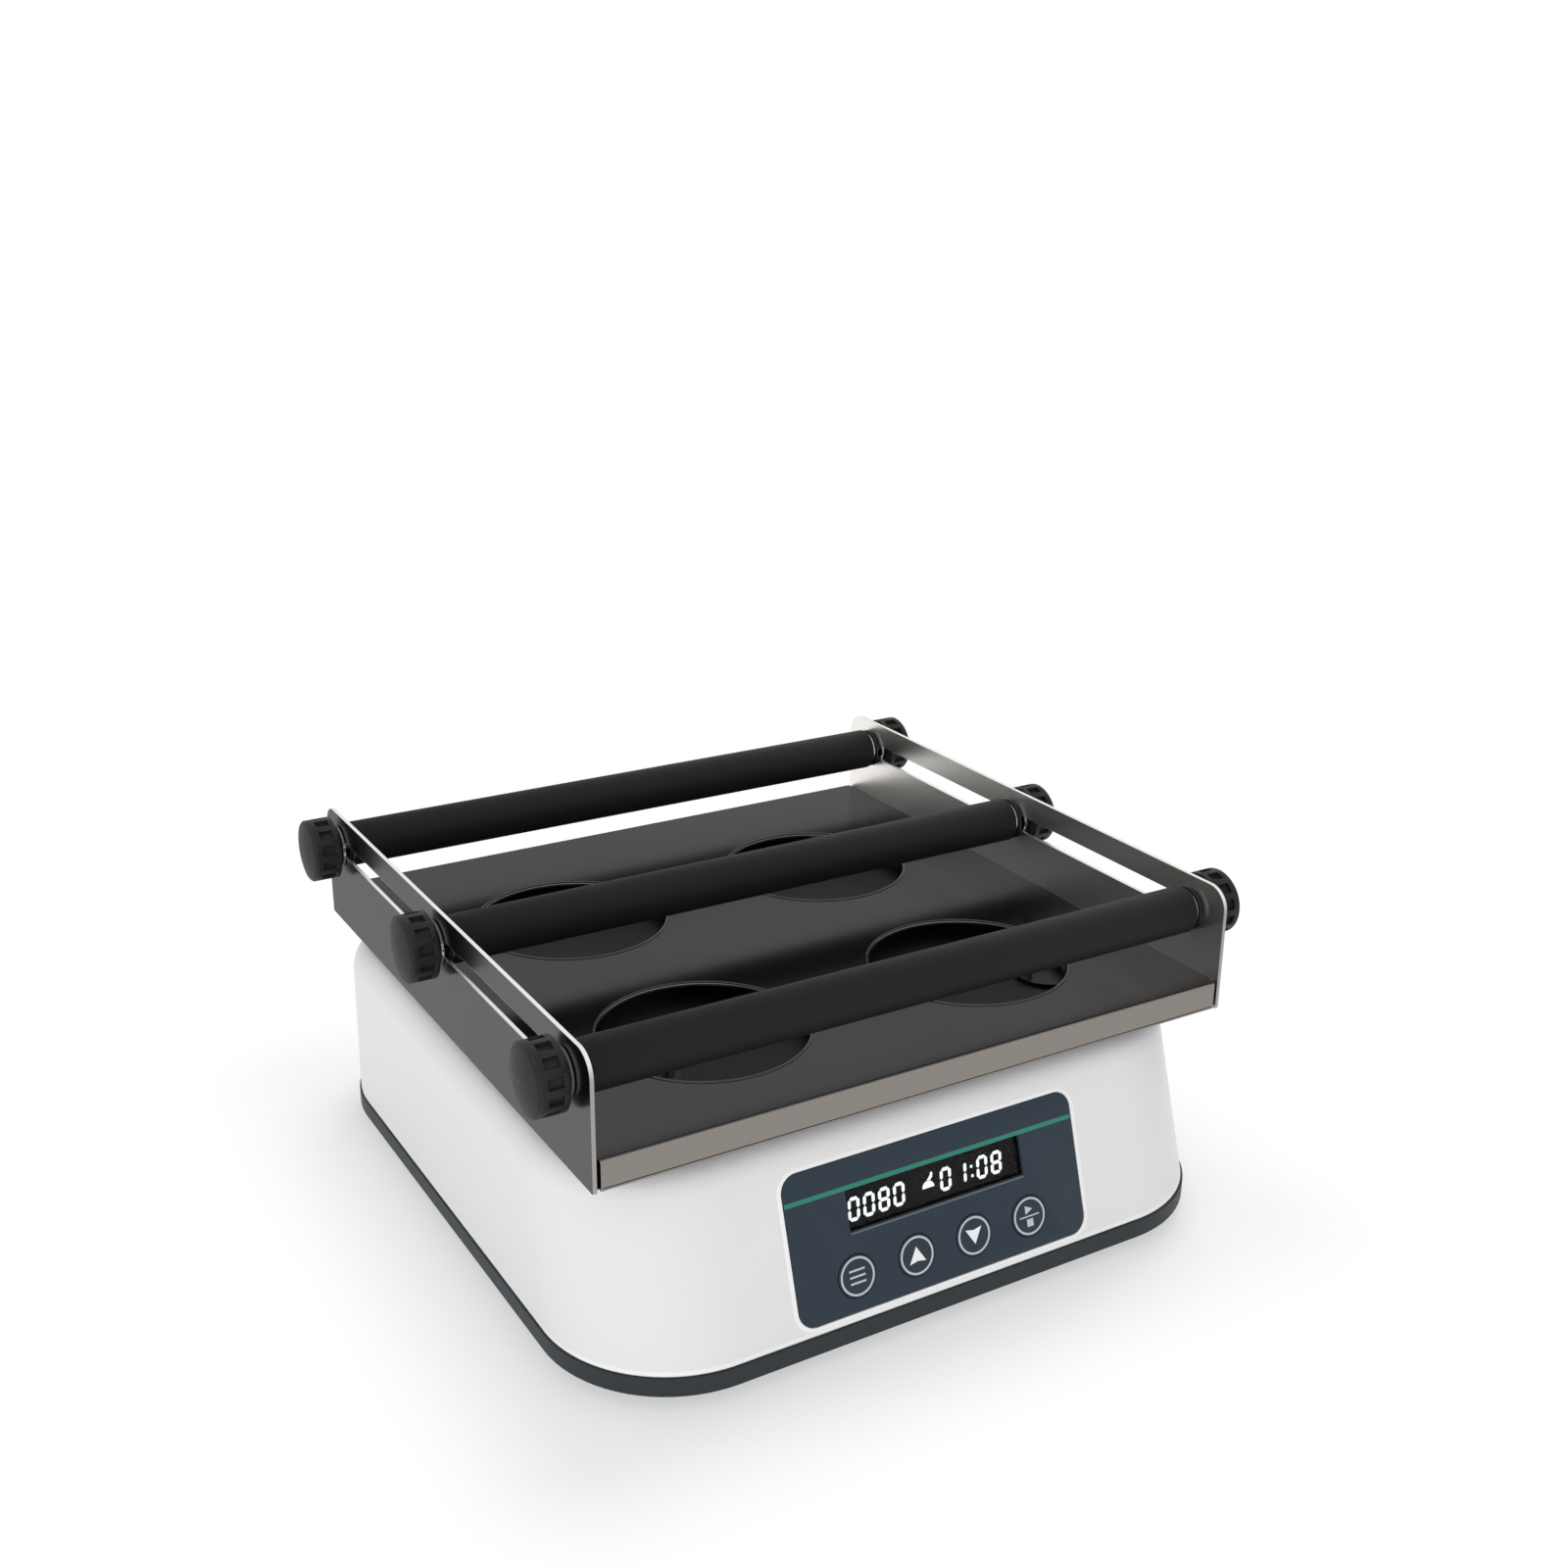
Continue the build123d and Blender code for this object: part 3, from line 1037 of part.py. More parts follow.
def build():
    """Write every node."""
    os.makedirs("parts", exist_ok=True)
    save("base_cover", base_cover())
    save("base_pan", base_pan())
    save("rubber_feet", rubber_feet())
    save("cover_screws", cover_screws())
    save("chassis_plate", chassis_plate())
    save("chassis_pillars", chassis_pillars())
    save("chassis_screws", chassis_screws())
    save("drive_housing", drive_housing())
    save("drive_bearings", drive_bearings())
    save("idler_housings", idler_housings())
    save("idler_bearings", idler_bearings())
    for name, (x, y) in IDLERS.items():
        save("idler_crank_" + name, idler_crank(x, y))
    save("drive_crank", drive_crank())
    save("counterweight", counterweight())
    save("drive_pulley", pulley(DRIVE_Y, DRIVE_PULLEY_RADIUS, DRIVE_SHAFT_RADIUS))
    save("motor_pulley", pulley(MOTOR_Y, MOTOR_PULLEY_RADIUS, MOTOR_SHAFT_RADIUS))
    save("drive_belt", drive_belt())
    save("motor_body", motor_body())
    save("motor_shaft", motor_shaft())
    save("carrier_plate", carrier_plate())
    save("carrier_bearings", carrier_bearings())
    save("bearing_caps", bearing_caps())
    save("cap_screws", cap_screws())
    save("tray_spacers", tray_spacers())
    save("tray_studs", tray_studs())
    save("tray_nuts", tray_nuts())
    save("tray_plate", tray_plate())
    save("side_plate_left", side_plate(-1))
    save("side_plate_right", side_plate(1))
    for name, offset in BAR_Y.items():
        y = PLATFORM_Y + offset
        save("bar_rod_" + name, bar_rod(y))
        save("bar_sleeve_" + name, bar_sleeve(y))
        save("knob_" + name + "_left", knob(y, -1))
        save("knob_" + name + "_right", knob(y, 1))
    save("control_panel", control_panel())
    save("lcd_window", lcd_window())
    save("lcd_module", lcd_module())
    save("control_board", control_board())
    save("board_screws", board_screws())
    for name, place in KEYS.items():
        save("key_" + name, key(place))
    save("supply_board", supply_board())
    save("power_inlet", power_inlet())
    save("inlet_blades", inlet_blades())
    save("switch_frame", switch_frame())
    save("switch_rocker", switch_rocker())


build()
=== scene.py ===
"""Looks of the laboratory shaker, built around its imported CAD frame.

Everything is in metres in the CAD's frame: the bench is z = 0, the operator stands at -Y and +X is the
operator's right. The named sizes below are millimetres, and MM turns them to metres.
"""
import math

import bmesh
import bpy
from mathutils import Matrix, Vector


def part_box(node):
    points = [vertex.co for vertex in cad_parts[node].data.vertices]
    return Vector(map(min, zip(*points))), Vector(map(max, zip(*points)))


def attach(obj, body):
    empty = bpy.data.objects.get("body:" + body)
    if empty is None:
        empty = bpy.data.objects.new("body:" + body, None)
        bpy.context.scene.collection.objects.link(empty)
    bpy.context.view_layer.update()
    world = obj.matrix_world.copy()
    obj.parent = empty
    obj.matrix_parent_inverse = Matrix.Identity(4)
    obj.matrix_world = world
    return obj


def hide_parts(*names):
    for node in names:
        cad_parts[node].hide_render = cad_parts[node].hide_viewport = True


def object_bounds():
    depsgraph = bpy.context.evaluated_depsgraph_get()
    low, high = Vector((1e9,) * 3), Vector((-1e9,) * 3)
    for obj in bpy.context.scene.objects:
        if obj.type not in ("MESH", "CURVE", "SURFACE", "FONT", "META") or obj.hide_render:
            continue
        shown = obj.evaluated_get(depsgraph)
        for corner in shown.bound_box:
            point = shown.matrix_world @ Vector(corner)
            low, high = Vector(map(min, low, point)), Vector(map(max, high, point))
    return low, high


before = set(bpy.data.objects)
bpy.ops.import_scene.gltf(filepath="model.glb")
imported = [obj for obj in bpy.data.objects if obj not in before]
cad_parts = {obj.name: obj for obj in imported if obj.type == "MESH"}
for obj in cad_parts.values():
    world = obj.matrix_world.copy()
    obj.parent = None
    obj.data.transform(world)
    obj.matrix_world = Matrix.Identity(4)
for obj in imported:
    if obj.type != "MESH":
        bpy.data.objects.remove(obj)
CAD_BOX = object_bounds()
MM = 0.001

# Camera: the photograph's viewpoint, with its angles in degrees
CAMERA_PLACE = (-341.81, -589.51, 403.02)
CAMERA_YAW = 31.04
CAMERA_PITCH = 19.56
CAMERA_ROLL = 0.56
CAMERA_LENS = 42.096
CAMERA_SENSOR = 36.0

# Studio: FLOOR_LIFT is the floor's share of plain white beside the object. From FLOOR_CLEAR outwards the
# share rises to full within FLOOR_FADE. The lamps' powers are watts.
WHITE = (1, 1, 1, 1)
FLOOR_SHADE = "#F7F7F7"
FLOOR_RADIUS = 3000.0
FLOOR_STEPS = 96
FLOOR_CLEAR = 1.0
FLOOR_FADE = 60.0
FLOOR_LIFT = 0.5
WORLD_LEVEL = 0.65
KEY_PLACE = (900.0, 700.0, 1300.0)
KEY_SIZE = 1100.0
KEY_POWER = 11.0
FILL_PLACE = (-1150.0, -1100.0, 200.0)
FILL_SIZE = 1200.0
FILL_POWER = 10.5

# Places read from the frame: the leaning front starts on the pan's rim, a step inside its edge
PAN_LOW, PAN_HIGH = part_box("base_pan")
COVER_STEP = 0.7
LIP_HEIGHT = 2.0
RIM_Y = PAN_LOW.y + COVER_STEP * MM
RIM_Z = PAN_HIGH.z - LIP_HEIGHT * MM
FRONT_LEAN = math.radians(17.3)
TRAY_LOW, TRAY_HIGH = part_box("side_plate_left")
BARS = ("front", "middle", "back")
SIDES = {"left": -1, "right": 1}


# Shader nodes


def linear(code):
    """An sRGB hex colour as linear RGBA."""
    parts = [int(code[i : i + 2], 16) / 255 for i in (1, 3, 5)]
    return [p / 12.92 if p <= 0.04045 else ((p + 0.055) / 1.055) ** 2.4 for p in parts] + [1.0]


def node(tree, kind, inputs=None, **settings):
    """Add one shader node with its settings, input values and links."""
    made = tree.nodes.new("ShaderNode" + kind)
    for name, value in settings.items():
        setattr(made, name, value)
    for name, value in (inputs or {}).items():
        if isinstance(value, bpy.types.NodeSocket):
            tree.links.new(value, made.inputs[name])
        else:
            made.inputs[name].default_value = value
    return made


def material(name):
    """A new material with an empty tree."""
    made = bpy.data.materials.new(name)
    made.use_nodes = True
    made.node_tree.nodes.clear()
    return made


def close(made, shader):
    """Send a shader to the material's surface."""
    node(made.node_tree, "OutputMaterial", {"Surface": shader})
    return made


def principled(made, inputs):
    """Close a material with a principled surface."""
    return close(made, node(made.node_tree, "BsdfPrincipled", inputs).outputs[0])


def object_place(tree):
    """The shaded point in its object's own coordinates."""
    return node(tree, "TexCoord").outputs["Object"]


def facing(tree, axis):
    """How squarely the surface faces along an axis of its object, from 0 to 1."""
    normal = node(tree, "TexCoord").outputs["Normal"]
    turn = node(tree, "SeparateXYZ", {"Vector": normal}).outputs[axis]
    return node(tree, "Math", {0: turn}, operation="ABSOLUTE").outputs[0]


def noise(tree, place, size, detail):
    """Cloud noise with features this many millimetres wide."""
    per_metre = 1 / (size * MM)
    return node(tree, "TexNoise", {"Vector": place, "Scale": per_metre, "Detail": detail}).outputs["Fac"]


def remap(tree, value, start, end, low=0.0, high=1.0, curve="LINEAR"):
    """Carry a value from the range start to end into the range low to high."""
    inputs = {"Value": value, "From Min": start, "From Max": end, "To Min": low, "To Max": high}
    return node(tree, "MapRange", inputs, interpolation_type=curve).outputs[0]


def blend(tree, share, colour, other):
    """One colour passing into another."""
    return node(tree, "Mix", {0: share, "A": colour, "B": other}, data_type="RGBA").outputs["Result"]


def mottle(tree, place, size, shades):
    """Two close shades in clouds this many millimetres wide."""
    return blend(tree, noise(tree, place, size, MOTTLE_DETAIL), *[linear(shade) for shade in shades])


def grain_normal(tree, height, strength, depth):
    """The surface's normal under a grain this many millimetres deep."""
    return node(tree, "Bump", {"Height": height, "Strength": strength, "Distance": depth * MM}).outputs[0]


# Stage: white floor that keeps the shadow, white surroundings, two soft lamps


def white_where_seen(tree):
    """1 for rays that show the background: seen directly, in a reflection or through glass."""
    path = node(tree, "LightPath").outputs
    direct = node(tree, "Math", {0: path["Is Camera Ray"], 1: path["Is Glossy Ray"]}, operation="MAXIMUM")
    either = {0: direct.outputs[0], 1: path["Is Transmission Ray"]}
    return node(tree, "Math", either, operation="MAXIMUM").outputs[0]


def floor_paint():
    """Matt white studio paper that turns to plain background white away from the object."""
    made = material("matt_white_paper")
    tree = made.node_tree
    paper = node(tree, "BsdfDiffuse", {"Color": linear(FLOOR_SHADE)})
    folded = node(tree, "VectorMath", {0: object_place(tree)}, operation="ABSOLUTE").outputs["Vector"]
    beyond = node(tree, "VectorMath", {0: folded, 1: (PAN_HIGH.x, PAN_HIGH.y, 0)}, operation="SUBTRACT")
    outside = node(tree, "VectorMath", {0: beyond.outputs["Vector"], 1: (0, 0, 0)}, operation="MAXIMUM")
    away = node(tree, "VectorMath", {0: outside.outputs["Vector"]}, operation="LENGTH").outputs["Value"]
    start, end = FLOOR_CLEAR * MM, (FLOOR_CLEAR + FLOOR_FADE) * MM
    fade = remap(tree, away, start, end, low=FLOOR_LIFT, curve="SMOOTHSTEP")
    share = node(tree, "Math", {0: fade, 1: white_where_seen(tree)}, operation="MULTIPLY")
    glow = node(tree, "Emission", {"Color": WHITE, "Strength": 1.0})
    mixed = node(tree, "MixShader", {0: share.outputs[0], 1: paper.outputs[0], 2: glow.outputs[0]})
    return close(made, mixed.outputs[0])


def floor():
    """A round floor at bench level."""
    mesh = bpy.data.meshes.new("floor")
    shape = bmesh.new()
    bmesh.ops.create_circle(shape, cap_ends=True, segments=FLOOR_STEPS, radius=FLOOR_RADIUS * MM)
    shape.to_mesh(mesh)
    shape.free()
    mesh.materials.append(floor_paint())
    made = bpy.data.objects.new("floor", mesh)
    bpy.context.scene.collection.objects.link(made)


def surroundings():
    """White where the background shows, and a plain level of soft light on everything else."""
    world = bpy.data.worlds.new("white_surroundings")
    bpy.context.scene.world = world
    world.use_nodes = True
    tree = world.node_tree
    tree.nodes.clear()
    seen = white_where_seen(tree)
    level = node(tree, "Math", {0: seen, 1: 1 - WORLD_LEVEL, 2: WORLD_LEVEL}, operation="MULTIPLY_ADD")
    sky = node(tree, "Background", {"Color": WHITE, "Strength": level.outputs[0]})
    node(tree, "OutputWorld", {"Surface": sky.outputs[0]})


def lamp(name, place, size, power):
    """A square soft box that points at the middle of the object."""
    light = bpy.data.lights.new(name, "AREA")
    light.size = size * MM
    light.energy = power
    made = bpy.data.objects.new(name, light)
    made.location = Vector(place) * MM
    aim = (CAD_BOX[0] + CAD_BOX[1]) / 2 - made.location
    made.rotation_euler = aim.to_track_quat("-Z", "Y").to_euler()
    made.visible_glossy = False
    bpy.context.scene.collection.objects.link(made)


def camera():
    """The photograph's view."""
    data = bpy.data.cameras.new("camera")
    data.lens = CAMERA_LENS
    data.sensor_width = CAMERA_SENSOR
    made = bpy.data.objects.new("camera", data)
    turn = Matrix.Rotation(-math.radians(CAMERA_YAW), 4, "Z")
    tilt = Matrix.Rotation(math.radians(90 - CAMERA_PITCH), 4, "X")
    roll = Matrix.Rotation(math.radians(CAMERA_ROLL), 4, "Z")
    made.matrix_world = Matrix.Translation(Vector(CAMERA_PLACE) * MM) @ turn @ tilt @ roll
    bpy.context.scene.collection.objects.link(made)
    bpy.context.scene.camera = made


def studio():
    """Camera, floor, surroundings and lamps."""
    bpy.context.scene.view_settings.view_transform = "Standard"
    camera()
    floor()
    surroundings()
    lamp("key_lamp", KEY_PLACE, KEY_SIZE, KEY_POWER)
    lamp("fill_lamp", FILL_PLACE, FILL_SIZE, FILL_POWER)


# Materials, each named for what the real one is. MOTTLE, GRAIN and WAVE are the widths of a pattern's
# features and DEPTH is how deep a grain goes, in millimetres. BUMP is a grain's strength, and DETAIL is the
# number of finer layers in a pattern. The two values of the housing's roughness are its walls' and its rim's,
# and those of the tray's are its floor's and its flanges'.

MOTTLE_DETAIL = 2.0
GRAIN_DETAIL = 3.0
DRAWN_DETAIL = 4.0
EVEN_DETAIL = 1.0

PLASTIC_MOTTLE = 45
PLASTIC_BUMP = 0.35
PLASTIC_SPREAD = 0.05
PLASTIC_SPECULAR = 0.5

METAL_MOTTLE = 30
METAL_BUMP = 0.2
METAL_ROUGH_SHARES = (0.8, 1.25)
UNDRAWN = (1, 1, 1)

HOUSING_SHADES = ("#EEEEEE", "#ECECEC")
# The rim band's brighter white is a painted highlight along the housing's lower edge
HOUSING_RIM_HIGHLIGHT = "#FFFFFF"
HOUSING_RIM_BAND = 2.6
HOUSING_RIM_SOFT = 1.4
HOUSING_MOTTLE = 60
HOUSING_GRAIN = 0.6
HOUSING_BUMP = 0.3
HOUSING_DEPTH = 0.008
HOUSING_ROUGHNESS = (0.36, 0.22)

# The floor's dark shades are painted shade and the flanges' light shade painted light, picked by which way
# the sheet faces
TRAY_FLOOR_PAINTED_SHADES = ("#494848", "#444343")
TRAY_FLANGE_PAINTED_LIGHT = "#8E8883"
TRAY_FLANGE_FACING = (0.5, 0.8)
TRAY_MOTTLE = 70
TRAY_GRAIN = 0.5
TRAY_DRAWN = (0.06, 1, 1)
TRAY_BUMP = 0.15
TRAY_DEPTH = 0.0006
TRAY_ROUGHNESS = (0.2, 0.34)
TRAY_GRAZE = 0.63

# The edge's upright and level shades are painted shade and painted light
EDGE_PAINTED_LIGHT_SHADES = ("#A3A09D", "#EAE8E5")
EDGE_FACING = (0.05, 0.6)
EDGE_GRAIN = 0.3
EDGE_BUMP = 0.2
EDGE_DEPTH = 0.003
EDGE_ROUGHNESS = 0.3

INK_GRAIN = 0.4
INK_ROUGHNESS = (0.35, 0.45)

ACRYLIC_SHADES = ("#F4F6F6", "#F0F2F2")
ACRYLIC_WAVE = 9
ACRYLIC_COAT_IOR = 1.1


def grained(name, shades, roughness, grain, depth, specular=PLASTIC_SPECULAR):
    """A moulded plastic or rubber: two close shades and a fine moulded grain.

    The grain is in millimetres, and a spark-eroded mould's 0.1 mm grain is drawn coarser so that it shows.
    """
    made = material(name)
    tree = made.node_tree
    place = object_place(tree)
    speck = noise(tree, place, grain, GRAIN_DETAIL)
    inputs = {
        "Base Color": mottle(tree, place, PLASTIC_MOTTLE, shades),
        "Roughness": remap(tree, speck, 0, 1, roughness - PLASTIC_SPREAD, roughness + PLASTIC_SPREAD),
        "Specular IOR Level": specular,
        "Normal": grain_normal(tree, speck, PLASTIC_BUMP, depth),
    }
    return principled(made, inputs)


def drawn_lines(tree, place, stretch, grain):
    """A grain drawn out along one axis, as rolling or brushing leaves it."""
    drawn = node(tree, "Mapping", {"Vector": place, "Scale": stretch}).outputs[0]
    return noise(tree, drawn, grain, DRAWN_DETAIL)


def metal(name, shades, roughness, grain, depth, stretch=UNDRAWN, bump=METAL_BUMP, graze=1.0):
    """A metal: two close shades and a grain in millimetres, drawn out along one axis where it was rolled.

    graze is the share of its full mirror that is left where it is seen almost edge on.
    """
    made = material(name)
    tree = made.node_tree
    place = object_place(tree)
    lines = drawn_lines(tree, place, stretch, grain)
    low, high = (roughness * share for share in METAL_ROUGH_SHARES)
    inputs = {
        "Base Color": mottle(tree, place, METAL_MOTTLE, shades),
        "Metallic": 1.0,
        "Specular Tint": (graze, graze, graze, 1),
        "Roughness": remap(tree, lines, 0, 1, low, high),
        "Normal": grain_normal(tree, lines, bump, depth),
    }
    return principled(made, inputs)


def moulded_housing():
    """White ABS from a polished mould: satin walls, and a glossier band round the rim made brighter with a
    painted highlight.
    """
    made = material("moulded_white_abs")
    tree = made.node_tree
    place = object_place(tree)
    height = node(tree, "SeparateXYZ", {"Vector": place}).outputs["Z"]
    top = RIM_Z + HOUSING_RIM_BAND * MM
    band = remap(tree, height, top, top - HOUSING_RIM_SOFT * MM, curve="SMOOTHSTEP")
    wall = mottle(tree, place, HOUSING_MOTTLE, HOUSING_SHADES)
    speck = noise(tree, place, HOUSING_GRAIN, GRAIN_DETAIL)
    inputs = {
        # Painted highlight: the rim band is whiter than the walls
        "Base Color": blend(tree, band, wall, linear(HOUSING_RIM_HIGHLIGHT)),
        "Roughness": remap(tree, band, 0, 1, *HOUSING_ROUGHNESS),
        "Normal": grain_normal(tree, speck, HOUSING_BUMP, HOUSING_DEPTH),
    }
    return principled(made, inputs)


def folded_steel():
    """Stainless sheet folded into a tray: a mirror floor darkened with painted shade, and flanges that the
    brake left satin, lightened with painted light.
    """
    made = material("folded_stainless_tray")
    tree = made.node_tree
    place = object_place(tree)
    flange = remap(tree, facing(tree, "Y"), *TRAY_FLANGE_FACING)
    flat = mottle(tree, place, TRAY_MOTTLE, TRAY_FLOOR_PAINTED_SHADES)
    lines = drawn_lines(tree, place, TRAY_DRAWN, TRAY_GRAIN)
    inputs = {
        # Painted light and shade: flanges lighter, floor darker
        "Base Color": blend(tree, flange, flat, linear(TRAY_FLANGE_PAINTED_LIGHT)),
        "Metallic": 1.0,
        "Specular Tint": (TRAY_GRAZE, TRAY_GRAZE, TRAY_GRAZE, 1),
        "Roughness": remap(tree, flange, 0, 1, *TRAY_ROUGHNESS),
        "Normal": grain_normal(tree, lines, TRAY_BUMP, TRAY_DEPTH),
    }
    return principled(made, inputs)


def sheared_edge():
    """A sheet's sheared and tumbled edge in painted light: bright where it faces up or down, grey where it
    stands upright.
    """
    made = material("sheared_steel_edge")
    tree = made.node_tree
    level = remap(tree, facing(tree, "Z"), *EDGE_FACING)
    speck = noise(tree, object_place(tree), EDGE_GRAIN, GRAIN_DETAIL)
    inputs = {
        # Painted light: level edges brighter than upright ones
        "Base Color": blend(tree, level, *[linear(shade) for shade in EDGE_PAINTED_LIGHT_SHADES]),
        "Metallic": 1.0,
        "Roughness": EDGE_ROUGHNESS,
        "Normal": grain_normal(tree, speck, EDGE_BUMP, EDGE_DEPTH),
    }
    return principled(made, inputs)


def flat_ink(name, colour, glow=0.0):
    """Screen-printed ink: even and slightly satin, with a mottle too fine to count."""
    made = material(name)
    tree = made.node_tree
    speck = noise(tree, object_place(tree), INK_GRAIN, EVEN_DETAIL)
    inputs = {
        "Base Color": linear(colour),
        "Roughness": remap(tree, speck, 0, 1, *INK_ROUGHNESS),
        "Emission Color": linear(colour),
        "Emission Strength": glow,
    }
    return principled(made, inputs)


def clear_acrylic():
    """Cast acrylic with an anti-glare coat: the coat's low index is given, so hardly anything is mirrored."""
    made = material("coated_cast_acrylic")
    tree = made.node_tree
    wave = noise(tree, object_place(tree), ACRYLIC_WAVE, EVEN_DETAIL)
    inputs = {
        "Base Color": blend(tree, wave, *[linear(shade) for shade in ACRYLIC_SHADES]),
        "Roughness": 0.0,
        "Transmission Weight": 1.0,
        "IOR": ACRYLIC_COAT_IOR,
    }
    return principled(made, inputs)


# Plastics and rubbers: shades, roughness, grain, the grain's depth and a specular level
WHITE_ABS = moulded_housing()
# The ridge's whiter shade than the housing is a painted highlight round the panel
RIDGE_PAINTED_HIGHLIGHT_ABS = grained("polished_white_abs_ridge", ("#FDFDFD", "#FBFBFB"), 0.3, 0.6, 0.004)
SLATE_ABS = grained("moulded_slate_abs", ("#33393D", "#303639"), 0.5, 0.5, 0.02, 0.2)
PANEL_FILM = grained("printed_polycarbonate_film", ("#2F3B46", "#2D3944"), 0.42, 0.3, 0.004, 0.2)
RUBBER = grained("ground_black_rubber", ("#1E1E1E", "#1B1B1B"), 0.6, 0.5, 0.02, 0.15)
FOOT_RUBBER = grained("moulded_foot_rubber", ("#1A1A1B", "#171718"), 0.7, 0.6, 0.03, 0.2)
KNOB_NYLON = grained("glass_filled_nylon", ("#282827", "#242423"), 0.5, 0.5, 0.02, 0.16)
# The knobs' broken edges take a lighter nylon: a painted highlight
KNOB_PAINTED_HIGHLIGHT_EDGE = grained("rubbed_nylon_edge", ("#5E5E59", "#565651"), 0.45, 0.5, 0.01, 0.25)
BLACK_NYLON = grained("moulded_black_nylon", ("#151617", "#131415"), 0.42, 0.5, 0.015, 0.3)
BOARD = grained("green_epoxy_board", ("#1F5A3C", "#1C5237"), 0.4, 0.8, 0.01)
MOTOR_PAINT = grained("black_motor_paint", ("#202225", "#1C1E20"), 0.55, 0.7, 0.03)
CARRIER_COAT = grained("black_powder_coat", ("#0B0B0C", "#09090A"), 0.5, 0.7, 0.04, 0.15)
DISPLAY_BLACK = grained("black_display_glass", ("#171415", "#151213"), 0.3, 2.0, 0.001, 0.1)
ACRYLIC = clear_acrylic()

# The white ink's faint glow is painted light: printed ink gives off none
INK_WHITE_PAINTED_GLOW = flat_ink("white_screen_ink", "#EEF0F1", glow=0.1)
PALE_INK = flat_ink("pale_blue_grey_screen_ink", "#C6CDD1")
GREY_INK = flat_ink("grey_screen_ink", "#6C7276")
TEAL_INK = flat_ink("teal_screen_ink", "#177F6C")
LIT_SEGMENT = flat_ink("lit_display_segment", "#F6F8FA", glow=0.45)

# Metals: shades, roughness, grain and the grain's depth
PLATE_STEEL = metal("polished_stainless_plate", ("#737272", "#706F6F"), 0.24, 0.5, 0.0005, graze=0.52)
# The plate's inner face is given a far lighter colour than its outer face: painted light
INNER_FACE_PAINTED_LIGHT_STEEL = metal(
    "brushed_stainless_inner_face", ("#F8F5F0", "#F0EDE8"), 0.3, 0.3, 0.04, stretch=(1, 0.03, 1), bump=0.5
)
TRAY_STEEL = folded_steel()
EDGE_STEEL = sheared_edge()
# The tray's broken edges are lighter than its floor: a painted highlight along folds and edges
FOLD_PAINTED_HIGHLIGHT_STEEL = metal("rubbed_steel_fold", ("#8A8781", "#807D77"), 0.3, 0.3, 0.002)
RIM_STEEL = metal("rolled_steel_lip", ("#4E4D4C", "#484746"), 0.3, 0.3, 0.001)
TURNED_STEEL = metal("bright_turned_steel", ("#C9C8C6", "#BDBCBA"), 0.2, 0.2, 0.002)
ZINC_STEEL = metal("zinc_plated_steel", ("#B9BCC0", "#A9ACB0"), 0.28, 0.6, 0.002)
BLACK_OXIDE = metal("black_oxide_steel", ("#222223", "#1D1D1E"), 0.35, 0.6, 0.002)
BEARING_STEEL = metal("ground_bearing_steel", ("#AEB0B2", "#A2A4A6"), 0.18, 0.3, 0.001)
ALUMINIUM = metal("machined_aluminium", ("#B4B5B7", "#A8A9AB"), 0.3, 0.25, 0.003)
TIN = metal("tinned_brass", ("#C6C0B0", "#BAB4A4"), 0.25, 0.5, 0.002)

FINISHES = {
    "base_cover": WHITE_ABS,
    "base_pan": SLATE_ABS,
    "rubber_feet": FOOT_RUBBER,
    "control_panel": PANEL_FILM,
    "lcd_module": DISPLAY_BLACK,
    "lcd_window": ACRYLIC,
    "control_board": BOARD,
    "supply_board": BOARD,
    "tray_plate": TRAY_STEEL,
    "bearing_caps": BLACK_OXIDE,
    "side_plate_left": PLATE_STEEL,
    "side_plate_right": PLATE_STEEL,
    "carrier_plate": CARRIER_COAT,
    "tray_spacers": FOOT_RUBBER,
    "drive_belt": FOOT_RUBBER,
    "motor_body": MOTOR_PAINT,
    "power_inlet": BLACK_NYLON,
    "switch_frame": BLACK_NYLON,
    "switch_rocker": BLACK_NYLON,
    "inlet_blades": TIN,
    "drive_housing": ALUMINIUM,
    "idler_housings": ALUMINIUM,
    "drive_pulley": ALUMINIUM,
    "motor_pulley": ALUMINIUM,
    "drive_bearings": BEARING_STEEL,
    "idler_bearings": BEARING_STEEL,
    "carrier_bearings": BEARING_STEEL,
}
FINISHES_BY_START = {
    "knob_": KNOB_NYLON,
    "key_": PANEL_FILM,
    "bar_sleeve_": RUBBER,
    "bar_rod_": TURNED_STEEL,
}


def pick(name, by_name, by_start, other):
    """What a table gives for a node's name, or for how its name starts."""
    for start, value in by_start.items():
        if name.startswith(start):
            return value
    return by_name.get(name, other)


def dress_nodes():
    """Give every CAD node its finish: a fastener or shaft with none of its own is zinc plated."""
    for name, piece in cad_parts.items():
        for slot in piece.material_slots:
            slot.material = pick(name, FINISHES, FINISHES_BY_START, ZINC_STEEL)


# Softened edges: a width for each node, and the finish of the broken edge where it differs

WELD = 0.005
FLAT_ANGLE = math.radians(0.6)
SHARP_ANGLE = math.radians(35)
SOFT_STEPS = 2
SOFT_EDGES = {
    # The tray's edge finish is a painted highlight
    "tray_plate": (0.2, FOLD_PAINTED_HIGHLIGHT_STEEL),
    "control_panel": (0.12, None),
    "power_inlet": (0.4, None),
    "switch_frame": (0.3, None),
    "switch_rocker": (0.3, None),
    "rubber_feet": (0.4, None),
}
# The knobs' edge finish is a painted highlight
SOFT_BY_START = {"knob_": (0.3, KNOB_PAINTED_HIGHLIGHT_EDGE), "bar_sleeve_": (0.7, None), "bar_rod_": (0.3, None)}
